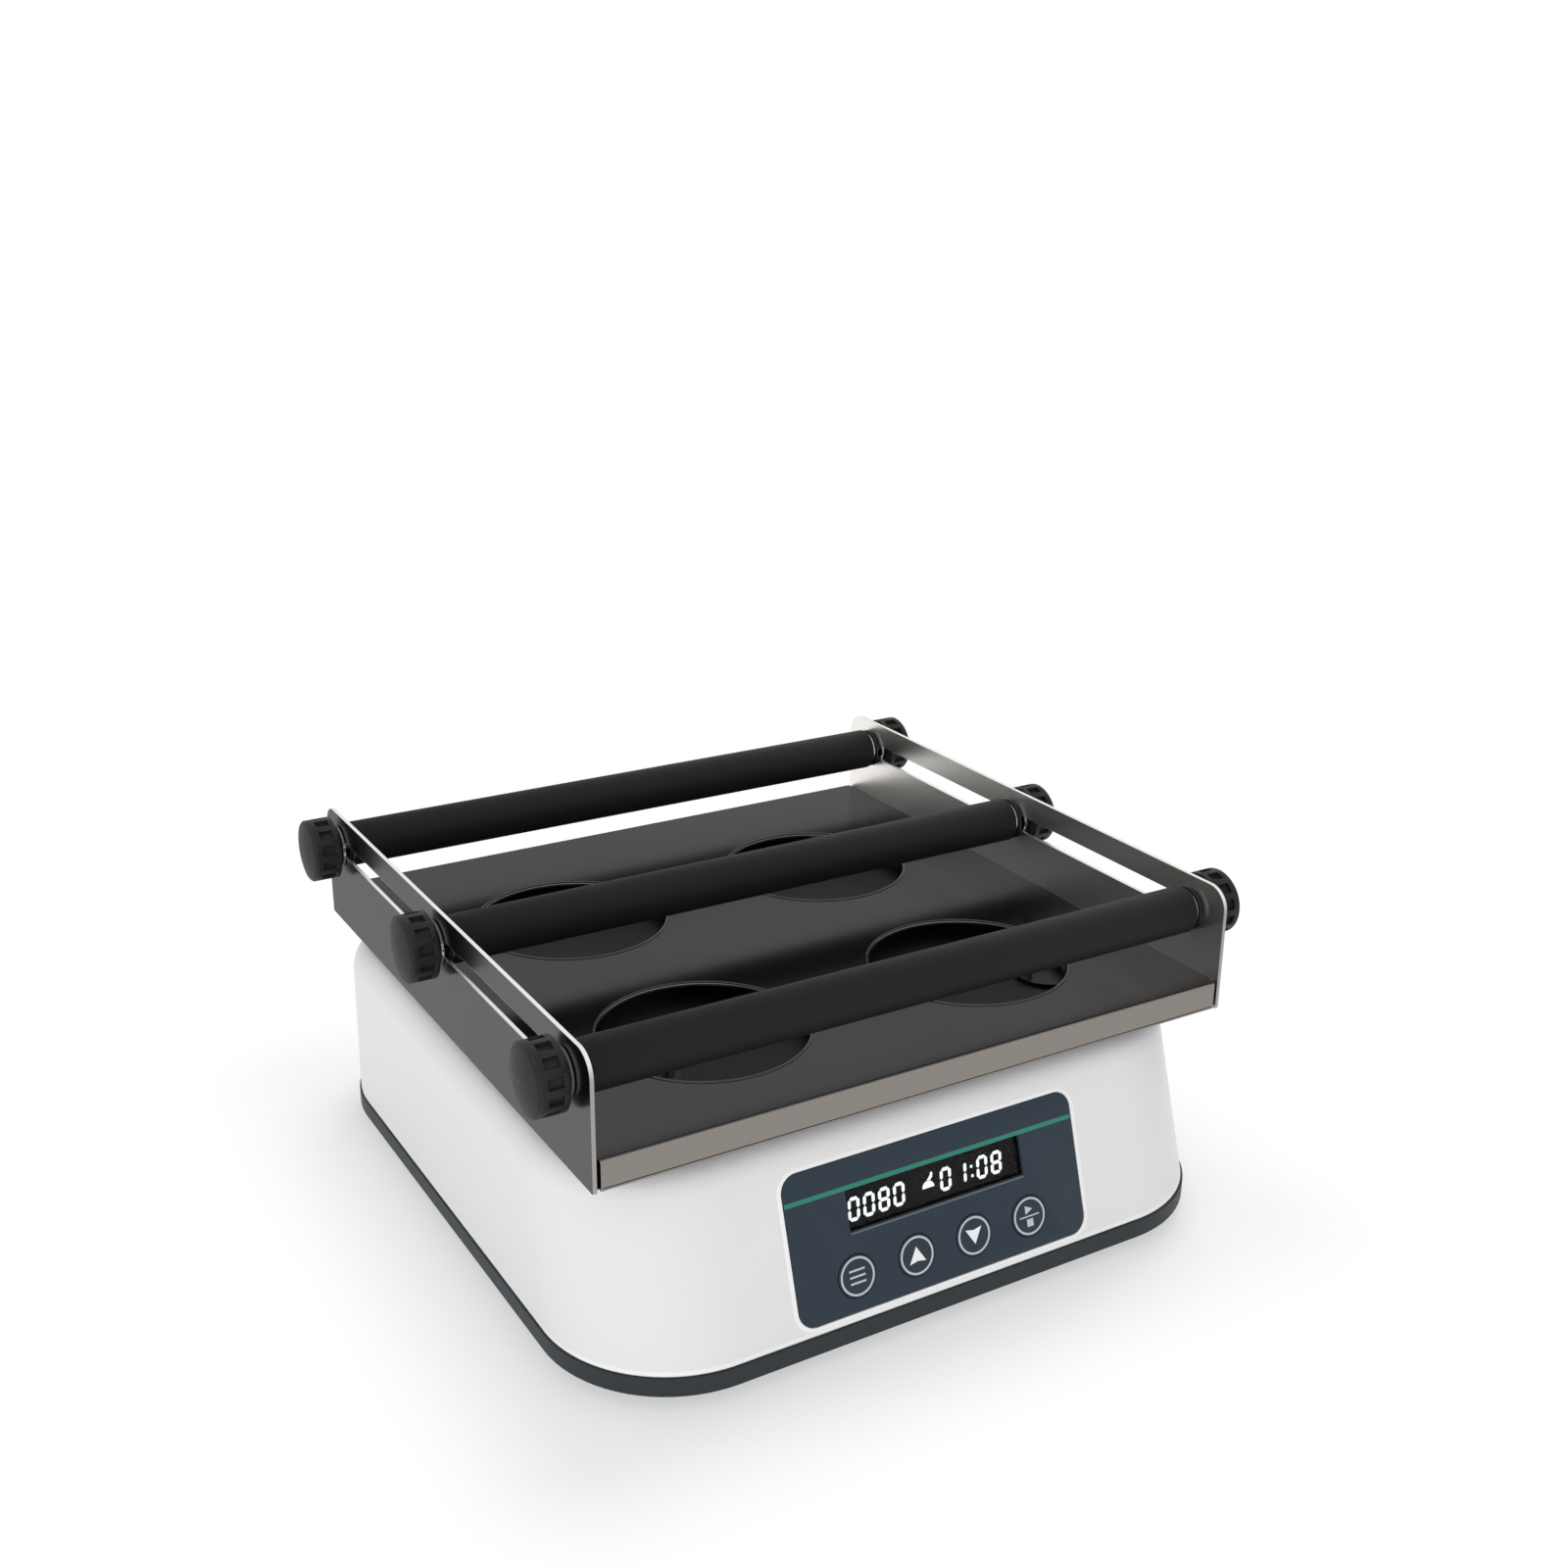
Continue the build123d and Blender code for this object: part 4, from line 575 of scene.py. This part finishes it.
# Dissolving would join the nearly level facets round a dome's pole into uneven ones
DOMED_START = "knob_"


def soften(piece, width, edge):
    """Break a node's sharp edges by this many millimetres, in a finish of their own if one is given."""
    weld = piece.modifiers.new("weld", "WELD")
    weld.merge_threshold = WELD * MM
    if not piece.name.startswith(DOMED_START):
        flat = piece.modifiers.new("flat", "DECIMATE")
        flat.decimate_type = "DISSOLVE"
        flat.angle_limit = FLAT_ANGLE
    bevel = piece.modifiers.new("bevel", "BEVEL")
    bevel.width = width * MM
    bevel.segments = SOFT_STEPS
    bevel.limit_method = "ANGLE"
    bevel.angle_limit = SHARP_ANGLE
    bevel.harden_normals = True
    if edge:
        piece.data.materials.append(edge)
        bevel.material = len(piece.data.materials) - 1


def soften_nodes():
    """Soften the edges that a mould, a lathe or a file would leave soft."""
    for name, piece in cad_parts.items():
        width, edge = pick(name, SOFT_EDGES, SOFT_BY_START, (0, None))
        if width:
            soften(piece, width, edge)


# Pieces: shapes are drawn as bmeshes, and each becomes an object that rides on a body

RING_STEPS = 64


def smooth(mesh):
    """Shade a mesh smooth, apart from its sharp edges."""
    for face in mesh.polygons:
        face.use_smooth = True
    mesh.set_sharp_from_angle(angle=SHARP_ANGLE)


def add_mesh(name, mesh, body, slot, *finishes):
    """A mesh becomes a piece in the given finishes that rides on a body. slot is not used."""
    for finish in finishes:
        mesh.materials.append(finish)
    made = bpy.data.objects.new(name, mesh)
    bpy.context.scene.collection.objects.link(made)
    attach(made, body)
    return made


def add_piece(name, shape, body, slot, finish, rounded=False):
    """A bmesh becomes a piece of one finish, shaded smooth where it is rounded."""
    bmesh.ops.recalc_face_normals(shape, faces=shape.faces)
    mesh = bpy.data.meshes.new(name)
    shape.to_mesh(mesh)
    shape.free()
    if rounded:
        smooth(mesh)
    return add_mesh(name, mesh, body, slot, finish)


def circle(radius, steps=RING_STEPS):
    """Points round a circle, from its centre."""
    turns = [2 * math.pi * n / steps for n in range(steps)]
    return [(radius * math.cos(a), radius * math.sin(a)) for a in turns]


def bar(x_low, x_high, low, high):
    """A rectangle's corners."""
    return [(x_low, low), (x_high, low), (x_high, high), (x_low, high)]


def solid_between(shape, low_loop, high_loop):
    """A closed solid between two loops of points that match one to one."""
    bottom, top = [[shape.verts.new(point) for point in loop] for loop in (low_loop, high_loop)]
    shape.faces.new(top)
    shape.faces.new(bottom[::-1])
    for n, corner in enumerate(bottom):
        after = (n + 1) % len(bottom)
        shape.faces.new((corner, bottom[after], top[after], top[n]))


def loops_to_ring(shape, loops):
    """Join closed loops of equal length, each to the next and the last to the first, into a ring."""
    rows = [[shape.verts.new(point) for point in loop] for loop in loops]
    for n, row in enumerate(rows):
        other = rows[(n + 1) % len(rows)]
        for k, corner in enumerate(row):
            after = (k + 1) % len(row)
            shape.faces.new((corner, row[after], other[after], other[k]))


def box_between(start, end):
    """A box between two opposite corners."""
    shape = bmesh.new()
    corners = bar(start[0], end[0], start[1], end[1])
    solid_between(shape, *[[(x, y, z) for x, y in corners] for z in (start[2], end[2])])
    return shape


def face_point(x, rise, out):
    """A point on the leaning front, in metres: x to the right, rise up the slope, out of the face, in mm."""
    y = RIM_Y + (rise * math.sin(FRONT_LEAN) - out * math.cos(FRONT_LEAN)) * MM
    z = RIM_Z + (rise * math.cos(FRONT_LEAN) + out * math.sin(FRONT_LEAN)) * MM
    return Vector((x * MM, y, z))


def prism(shape, outline, low, high):
    """A flat piece of artwork on the leaning front, between two depths."""
    solid_between(shape, *[[face_point(x, rise, out) for x, rise in outline] for out in (low, high)])


def annulus(shape, x, rise, inner, outer, low, high):
    """A flat ring on the leaning front, between two depths."""
    section = ((outer, low), (outer, high), (inner, high), (inner, low))
    loops_to_ring(shape, [[face_point(x + a, rise + b, out) for a, b in circle(r)] for r, out in section])


def ring_round(box, face, way, section):
    """A turned ring round a bar's box. Its section gives (distance out from a plate's face, radius) in mm."""
    low, high = box
    y, z = (low.y + high.y) / 2, (low.z + high.z) / 2
    loops = []
    for out, radius in section:
        x = face + way * out * MM
        loops.append([Vector((x, y + a * MM, z + b * MM)) for a, b in circle(radius)])
    shape = bmesh.new()
    loops_to_ring(shape, loops)
    return shape


# Display: seven-segment figures in panel millimetres

WINDOW_LOW = 32.0
WINDOW_HIGH = 46.8
WINDOW_HALF_WIDTH = 37.75
WINDOW_MARGIN = 1.7
WINDOW_DEPTHS = (-1.95, -1.22)
WINDOW_EDGE = 0.15
WINDOW_EDGE_STEPS = 2
ROUND_PROFILE = 0.5
DIGIT_WIDTH = 4.9
DIGIT_HEIGHT = 8.5
DIGIT_FOOT = 34.6
DIGIT_SLANT = 0.1
SEGMENT = 1.25
SEGMENT_GAP = 0.12
FIGURE_DEPTHS = (-2.19, -2.1)
SEGMENTS_OF = {"0": "abcdef", "1": "bc", "8": "abcdefg"}
DIGIT_PITCH = 6.35
SPEED_START = -34.0
SPEED_FIGURES = [(figure, SPEED_START + n * DIGIT_PITCH) for n, figure in enumerate("0080")]
TIME_FIGURES = [("0", 5.3), ("1", 12.1), ("0", 21.5), ("8", 27.9)]
COLON_X = 16.9
COLON_RISES = (36.8, 40.3)
COLON_SIDE = 1.0
RUN_MARK_X = -2.4
RUN_MARK_RISE = 37.7
RUN_MARK_RADIUS = 2.6
RUN_MARK_HEIGHT = 2.5
RUN_MARK_STEPS = 16
RUN_MARK_SWEEP_OUT = [(-2.8, 40.5), (-2.0, 41.1), (-1.2, 42.0), (-0.7, 43.1)]
RUN_MARK_SWEEP_BACK = [(0.1, 42.8), (-0.3, 41.2), (-1.4, 40.2)]


def display_window():
    """The clear window behind the panel's opening, with polished edges."""
    shape = bmesh.new()
    half = WINDOW_HALF_WIDTH + WINDOW_MARGIN
    prism(shape, bar(-half, half, WINDOW_LOW - WINDOW_MARGIN, WINDOW_HIGH + WINDOW_MARGIN), *WINDOW_DEPTHS)
    bmesh.ops.bevel(
        shape,
        geom=shape.edges[:],
        offset=WINDOW_EDGE * MM,
        segments=WINDOW_EDGE_STEPS,
        affect="EDGES",
        profile=ROUND_PROFILE,
    )
    made = add_piece("display_window", shape, "base", "clear_window", ACRYLIC)
    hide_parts("lcd_window")


def run_mark():
    """The running mark between the two figures: a low dome under a flick."""
    turns = [math.pi * n / RUN_MARK_STEPS for n in range(RUN_MARK_STEPS + 1)]
    arch = [(RUN_MARK_RADIUS * math.cos(a), RUN_MARK_HEIGHT * math.sin(a)) for a in turns]
    dome = [(RUN_MARK_X + x, RUN_MARK_RISE + rise) for x, rise in arch]
    return [dome, RUN_MARK_SWEEP_OUT + RUN_MARK_SWEEP_BACK]


def segment_outline(letter):
    """A segment's six-sided outline in a digit's own cell, from its lower left corner."""
    half = SEGMENT / 2
    left, right = half, DIGIT_WIDTH - half
    low, middle, high = half, DIGIT_HEIGHT / 2, DIGIT_HEIGHT - half
    ends = {
        "a": ((left, high), (right, high)),
        "b": ((right, high), (right, middle)),
        "c": ((right, middle), (right, low)),
        "d": ((left, low), (right, low)),
        "e": ((left, middle), (left, low)),
        "f": ((left, high), (left, middle)),
        "g": ((left, middle), (right, middle)),
    }[letter]
    start, end = Vector(ends[0]), Vector(ends[1])
    along = (end - start).normalized()
    across = Vector((-along.y, along.x)) * half
    start += along * SEGMENT_GAP
    end -= along * SEGMENT_GAP
    return [
        start,
        start + along * half + across,
        end - along * half + across,
        end,
        end - along * half - across,
        start + along * half - across,
    ]


def display_figures():
    """The lit figures, the colon and the running mark under the window."""
    outlines = []
    for figure, centre in SPEED_FIGURES + TIME_FIGURES:
        for letter in SEGMENTS_OF[figure]:
            outline = []
            for x, rise in segment_outline(letter):
                lean = (rise - DIGIT_HEIGHT / 2) * DIGIT_SLANT
                outline.append((centre - DIGIT_WIDTH / 2 + x + lean, DIGIT_FOOT + rise))
            outlines.append(outline)
    half = COLON_SIDE / 2
    for rise in COLON_RISES:
        outlines.append(bar(COLON_X - half, COLON_X + half, rise - half, rise + half))
    shape = bmesh.new()
    for outline in outlines + run_mark():
        prism(shape, outline, *FIGURE_DEPTHS)
    add_piece("display_figures", shape, "base", "display", LIT_SEGMENT)


# Panel print, in panel millimetres. TEAL_LINE and WINDOW_LINE are given as bar() takes them.

PRINT_DEPTHS = (-0.02, 0.04)
TEAL_LINE = (-62.1, 62.1, 46.9, 48.55)
WINDOW_LINE = (-37.6, 37.6, 30.95, 31.4)
RING_OUTER = 6.95
RING_INNER = 6.2
KEY_TOP = 0.35
KEY_RISE = 16.2
PANEL_WIDTH = 124.8
PANEL_HEIGHT = 54.3
PANEL_RISE = 3.7
PANEL_CORNER = 6.5
CORNER_STEPS = 12
RIDGE_SECTION = ((0.3, -0.4), (0.3, 0.06), (0.42, 0.18), (1.4, 0.18), (1.7, 0.12), (1.95, 0.02), (1.95, -0.4))
DART_UP = [(0, 3.2), (-3.5, -2.7), (0, -2.0), (3.5, -2.7)]
DART_DOWN = [(x, -y) for x, y in DART_UP]
KEY_ICONS = {
    "menu": [bar(-3.2, 3.2, 1.9, 2.6), bar(-3.2, 3.2, -0.35, 0.35), bar(-3.2, 3.2, -2.6, -1.9)],
    "up": [DART_UP],
    "down": [DART_DOWN],
    "start": [
        [(-1.6, 0.9), (-1.6, 4.1), (1.7, 2.5)],
        bar(-4.4, 4.4, -0.25, 0.25),
        bar(-1.4, 1.4, -3.9, -1.1),
    ],
}


def panel_outline(extra):
    """Points round the panel's rounded outline, this much larger all round."""
    radius = PANEL_CORNER + extra
    x = PANEL_WIDTH / 2 + extra - radius
    y = PANEL_HEIGHT / 2 + extra - radius
    middle = PANEL_RISE + PANEL_HEIGHT / 2
    points = []
    for quarter, (side_x, side_y) in enumerate(((1, 1), (-1, 1), (-1, -1), (1, -1))):
        for n in range(CORNER_STEPS + 1):
            angle = math.pi / 2 * (quarter + n / CORNER_STEPS)
            rise = middle + side_y * y + radius * math.sin(angle)
            points.append((side_x * x + radius * math.cos(angle), rise))
    return points


def panel_ridge():
    """The moulded ridge that frames the panel, whiter than the housing as a painted highlight."""
    shape = bmesh.new()
    loops = [[face_point(x, rise, out) for x, rise in panel_outline(extra)] for extra, out in RIDGE_SECTION]
    loops_to_ring(shape, loops)
    add_piece("panel_ridge", shape, "base", "white_housing", RIDGE_PAINTED_HIGHLIGHT_ABS, rounded=True)


def panel_print():
    """The teal line across the panel and the pale line under the window."""
    for name, line, ink in (("panel_line", TEAL_LINE, TEAL_INK), ("window_line", WINDOW_LINE, GREY_INK)):
        shape = bmesh.new()
        prism(shape, bar(*line), *PRINT_DEPTHS)
        add_piece(name, shape, "base", "panel_film", ink)


def key_prints():
    """A ring and an icon printed on each key."""
    depths = [KEY_TOP + depth for depth in PRINT_DEPTHS]
    for name, icon in KEY_ICONS.items():
        low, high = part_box("key_" + name)
        x = (low.x + high.x) / 2 / MM
        shape = bmesh.new()
        annulus(shape, x, KEY_RISE, RING_INNER, RING_OUTER, *depths)
        add_piece("key_ring_" + name, shape, "key_" + name, "key_plastic", PALE_INK)
        shape = bmesh.new()
        for outline in icon:
            prism(shape, [(x + a, KEY_RISE + b) for a, b in outline], *depths)
        ink = INK_WHITE_PAINTED_GLOW if name in ("up", "down") else PALE_INK
        add_piece("key_mark_" + name, shape, "key_" + name, "key_plastic", ink)


# Side plates

PLATE_TOP_RADIUS = 9.0
PLATE_FOOT_RADIUS = 0.9
SLOT_RISE = 35.7
SLOT_WIDTH = 6.85
SLOT_HALF_LENGTH = 118.0
PLATE_EDGE = 0.22
PLATE_EDGE_STEPS = 2
PLATE_FACE_TURN = 0.99
ARC_STEPS = 10


def arc(y, z, radius, start, end):
    """Points along an arc, angles in degrees."""
    turns = [math.radians(start + (end - start) * n / ARC_STEPS) for n in range(ARC_STEPS + 1)]
    return [(y + radius * math.cos(a), z + radius * math.sin(a)) for a in turns]


def plate_outlines():
    """The plate's outline and its slot, in (y, z) metres."""
    y_low, y_high, z_low, z_high = TRAY_LOW.y, TRAY_HIGH.y, TRAY_LOW.z, TRAY_HIGH.z
    top, foot = PLATE_TOP_RADIUS * MM, PLATE_FOOT_RADIUS * MM
    outer = arc(y_high - top, z_high - top, top, 0, 90)
    outer += arc(y_low + top, z_high - top, top, 90, 180)
    outer += arc(y_low + foot, z_low + foot, foot, 180, 270)
    outer += arc(y_high - foot, z_low + foot, foot, 270, 360)
    middle = (y_low + y_high) / 2
    level = z_low + SLOT_RISE * MM
    round_end = SLOT_WIDTH / 2 * MM
    reach = SLOT_HALF_LENGTH * MM - round_end
    slot = arc(middle + reach, level, round_end, -90, 90) + arc(middle - reach, level, round_end, 90, 270)
    return outer, slot


def plate_curve(name, sheet):
    """The plate's outlines as a filled curve of this thickness, with its edges broken."""
    curve = bpy.data.curves.new(name, "CURVE")
    curve.dimensions = "2D"
    curve.fill_mode = "BOTH"
    curve.bevel_depth = PLATE_EDGE * MM
    curve.bevel_resolution = PLATE_EDGE_STEPS
    curve.offset = -PLATE_EDGE * MM
    curve.extrude = sheet / 2 - PLATE_EDGE * MM
    for outline in plate_outlines():
        spline = curve.splines.new("POLY")
        spline.points.add(len(outline) - 1)
        spline.use_cyclic_u = True
        for point, (y, z) in zip(spline.points, outline):
            point.co = (y, z, 0, 1)
    return curve


def side_plate(side):
    """A polished plate whose broken edges and inner face are brightened with painted light."""
    node_name = "side_plate_" + side
    low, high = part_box(node_name)
    drawn = bpy.data.objects.new(node_name, plate_curve(node_name, high.x - low.x))
    bpy.context.scene.collection.objects.link(drawn)
    bpy.context.view_layer.update()
    mesh = bpy.data.meshes.new_from_object(drawn.evaluated_get(bpy.context.evaluated_depsgraph_get()))
    bpy.data.objects.remove(drawn)
    mesh.transform(Matrix(((0, 0, 1, (low.x + high.x) / 2), (1, 0, 0, 0), (0, 1, 0, 0), (0, 0, 0, 1))))
    mesh.materials.clear()
    finishes = (PLATE_STEEL, EDGE_STEEL, INNER_FACE_PAINTED_LIGHT_STEEL)
    for face in mesh.polygons:
        out = face.normal.x * SIDES[side]
        finish = EDGE_STEEL
        if abs(out) > PLATE_FACE_TURN:
            # The inner face takes the lighter, painted-light copy of the plate's steel
            finish = PLATE_STEEL if out > 0 else INNER_FACE_PAINTED_LIGHT_STEEL
        face.material_index = finishes.index(finish)
    smooth(mesh)
    made = add_mesh("plate_" + side, mesh, "platform", "polished_steel", *finishes)
    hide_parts(node_name)


# Tray returns: the flange's folded end, a step behind it, closes the gap to the plate. Its black finish is
# painted shade.

RETURN_STEP = 1.6
RETURN_DEPTH = 1.2
RETURN_WIDTH = 1.9
RETURN_RISE = 0.15
RETURN_TOP_GAP = 0.5
SHEET = 1.5
PLATE_CLEARANCE = 0.1


def flange_return(side, way, front):
    """The end of a tray flange, folded back beside the plate."""
    low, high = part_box("tray_plate")
    plate_low, plate_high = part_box("side_plate_" + side)
    inner = plate_high.x if way < 0 else plate_low.x
    start = inner - way * PLATE_CLEARANCE * MM
    end = start - way * RETURN_WIDTH * MM
    face = low.y if front < 0 else high.y
    near = face - front * RETURN_STEP * MM
    far = near - front * RETURN_DEPTH * MM
    bottom, top = low.z + RETURN_RISE * MM, high.z - (RETURN_TOP_GAP + SHEET) * MM
    name = "flange_return_" + side + ("_front" if front < 0 else "_back")
    shape = box_between((start, near, bottom), (end, far, top))
    # Black oxide here is painted shade for the dark gap beside the plate
    add_piece(name, shape, "platform", "polished_steel", BLACK_OXIDE)


# Flange shade strips: a dark strip of painted shade along each flange's lower edge

SHADE_STRIP_RISES = (0.75, 1.1)
SHADE_STRIP_DEPTHS = (-0.1, 0.02)
SHADE_STRIP_END_GAP = 2.0


def painted_shade_strip(front):
    """A dark strip of painted shade along a flange, just above its lower edge."""
    low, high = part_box("tray_plate")
    face = low.y if front < 0 else high.y
    start, end = low.x + SHADE_STRIP_END_GAP * MM, high.x - SHADE_STRIP_END_GAP * MM
    back, out = (face + front * depth * MM for depth in SHADE_STRIP_DEPTHS)
    bottom, top = (low.z + rise * MM for rise in SHADE_STRIP_RISES)
    name = "flange_hem_" + ("front" if front < 0 else "back")
    shape = box_between((start, back, bottom), (end, out, top))
    add_piece(name, shape, "platform", "polished_steel", BLACK_OXIDE)


# Hole rims: the turned edge round each hole. Places are from the tray's middle, and the section
# gives (distance from the hole's edge, rise above the floor).

HOLE_X = 59.0
HOLE_YS = {"front": -67.0, "back": 47.0}
HOLE_RADIUS = 39.0
HOLE_STEPS = 128
RIM_SECTION = ((-0.05, 0.02), (0.0, 0.3), (0.25, 0.42), (0.6, 0.42), (0.85, 0.3), (0.95, 0.02))


def hole_rim(side, way, place, y):
    """The low rolled lip round one hole."""
    low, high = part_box("tray_plate")
    centre = Vector((way * HOLE_X * MM, (low.y + high.y) / 2 + y * MM, high.z))
    loops = []
    for out, rise in RIM_SECTION:
        around = circle(HOLE_RADIUS + out, HOLE_STEPS)
        loops.append([centre + Vector((a, b, rise)) * MM for a, b in around])
    shape = bmesh.new()
    loops_to_ring(shape, loops)
    name = "hole_rim_" + place + "_" + side
    add_piece(name, shape, "platform", "polished_steel", RIM_STEEL, rounded=True)


# Roller bushes and knob washers

BUSH_REACH = 1.45
BUSH_GAP = 0.25
BUSH_BORE = 5.1
BUSH_RADIUS = 8.7
BUSH_CHAMFER = 0.3
WASHER_BORE = 5.06
WASHER_RADIUS = 8.8
WASHER_GAP = 0.12
WASHER_THICKNESS = 1.6
WASHER_CHAMFER = 0.35


def roller_bush(bar_name, side, way):
    """A moulded bush between a roller's end and the plate."""
    plate_low, plate_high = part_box("side_plate_" + side)
    inner_face = plate_low.x if way > 0 else plate_high.x
    near, far = -BUSH_REACH, -BUSH_GAP
    section = (
        (near, BUSH_BORE),
        (near, BUSH_RADIUS),
        (far - BUSH_CHAMFER, BUSH_RADIUS),
        (far, BUSH_RADIUS - BUSH_CHAMFER),
        (far, BUSH_BORE),
    )
    shape = ring_round(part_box("bar_sleeve_" + bar_name), inner_face, way, section)
    name = "roller_bush_" + bar_name + "_" + side
    add_piece(name, shape, "bar_" + bar_name, "black_plastic", BLACK_NYLON, rounded=True)


def knob_washer(bar_name, side, way):
    """A turned steel washer between a knob and its plate."""
    plate_low, plate_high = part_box("side_plate_" + side)
    outer_face = plate_high.x if way > 0 else plate_low.x
    near, far = WASHER_GAP, WASHER_GAP + WASHER_THICKNESS
    section = (
        (near, WASHER_BORE),
        (near, WASHER_RADIUS - WASHER_CHAMFER),
        (near + WASHER_CHAMFER, WASHER_RADIUS),
        (far - WASHER_CHAMFER, WASHER_RADIUS),
        (far, WASHER_RADIUS - WASHER_CHAMFER),
        (far, WASHER_BORE),
    )
    shape = ring_round(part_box("bar_rod_" + bar_name), outer_face, way, section)
    name = "knob_washer_" + bar_name + "_" + side
    add_piece(name, shape, "bar_" + bar_name, "plated_steel", TURNED_STEEL, rounded=True)


# Rocker marks: ON_BAR is half its width and half its height, OFF_RING its inner and outer radius

ROCKER_RADIUS = 7.2
ROCKER_FACE = 4.5
ROCKER_UPPER_TURN = math.radians(-20)
MARK_RISE = 3.6
MARK_DEPTHS = (-0.03, 0.06)
ON_BAR = (0.35, 1.6)
OFF_RING = (1.05, 1.6)
OFF_STEPS = 32


def rocker_point(x, rise, out, turn):
    """A point on one half of the rocker's face: rise from the valley, out of the face, in millimetres."""
    low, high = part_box("switch_rocker")
    y = ROCKER_FACE + out
    pivot = Vector(((low.x + high.x) / 2, low.y + ROCKER_RADIUS * MM, (low.z + high.z) / 2))
    away = Vector((x, y * math.cos(turn) - rise * math.sin(turn), y * math.sin(turn) + rise * math.cos(turn)))
    return pivot + away * MM


def rocker_marks():
    """A bar for on and a ring for off, printed on the rocker's halves."""
    shape = bmesh.new()
    half, reach = ON_BAR
    corners = bar(-half, half, MARK_RISE - reach, MARK_RISE + reach)
    loops = [[rocker_point(x, rise, out, ROCKER_UPPER_TURN) for x, rise in corners] for out in MARK_DEPTHS]
    solid_between(shape, *loops)
    low, high = MARK_DEPTHS
    inner, outer = OFF_RING
    rings = []
    for radius, out in ((outer, low), (outer, high), (inner, high), (inner, low)):
        rings.append([rocker_point(a, b - MARK_RISE, out, 0) for a, b in circle(radius, OFF_STEPS)])
    loops_to_ring(shape, rings)
    add_piece("rocker_marks", shape, "rocker", "black_plastic", INK_WHITE_PAINTED_GLOW)


def tray_trim():
    """The plates and all the small trim of the tray."""
    for side, way in SIDES.items():
        side_plate(side)
        for front in (-1, 1):
            flange_return(side, way, front)
        for place, y in HOLE_YS.items():
            hole_rim(side, way, place, y)
        for bar_name in BARS:
            roller_bush(bar_name, side, way)
            knob_washer(bar_name, side, way)
    for front in (-1, 1):
        painted_shade_strip(front)


studio()
dress_nodes()
soften_nodes()
display_window()
display_figures()
panel_ridge()
panel_print()
key_prints()
rocker_marks()
tray_trim()
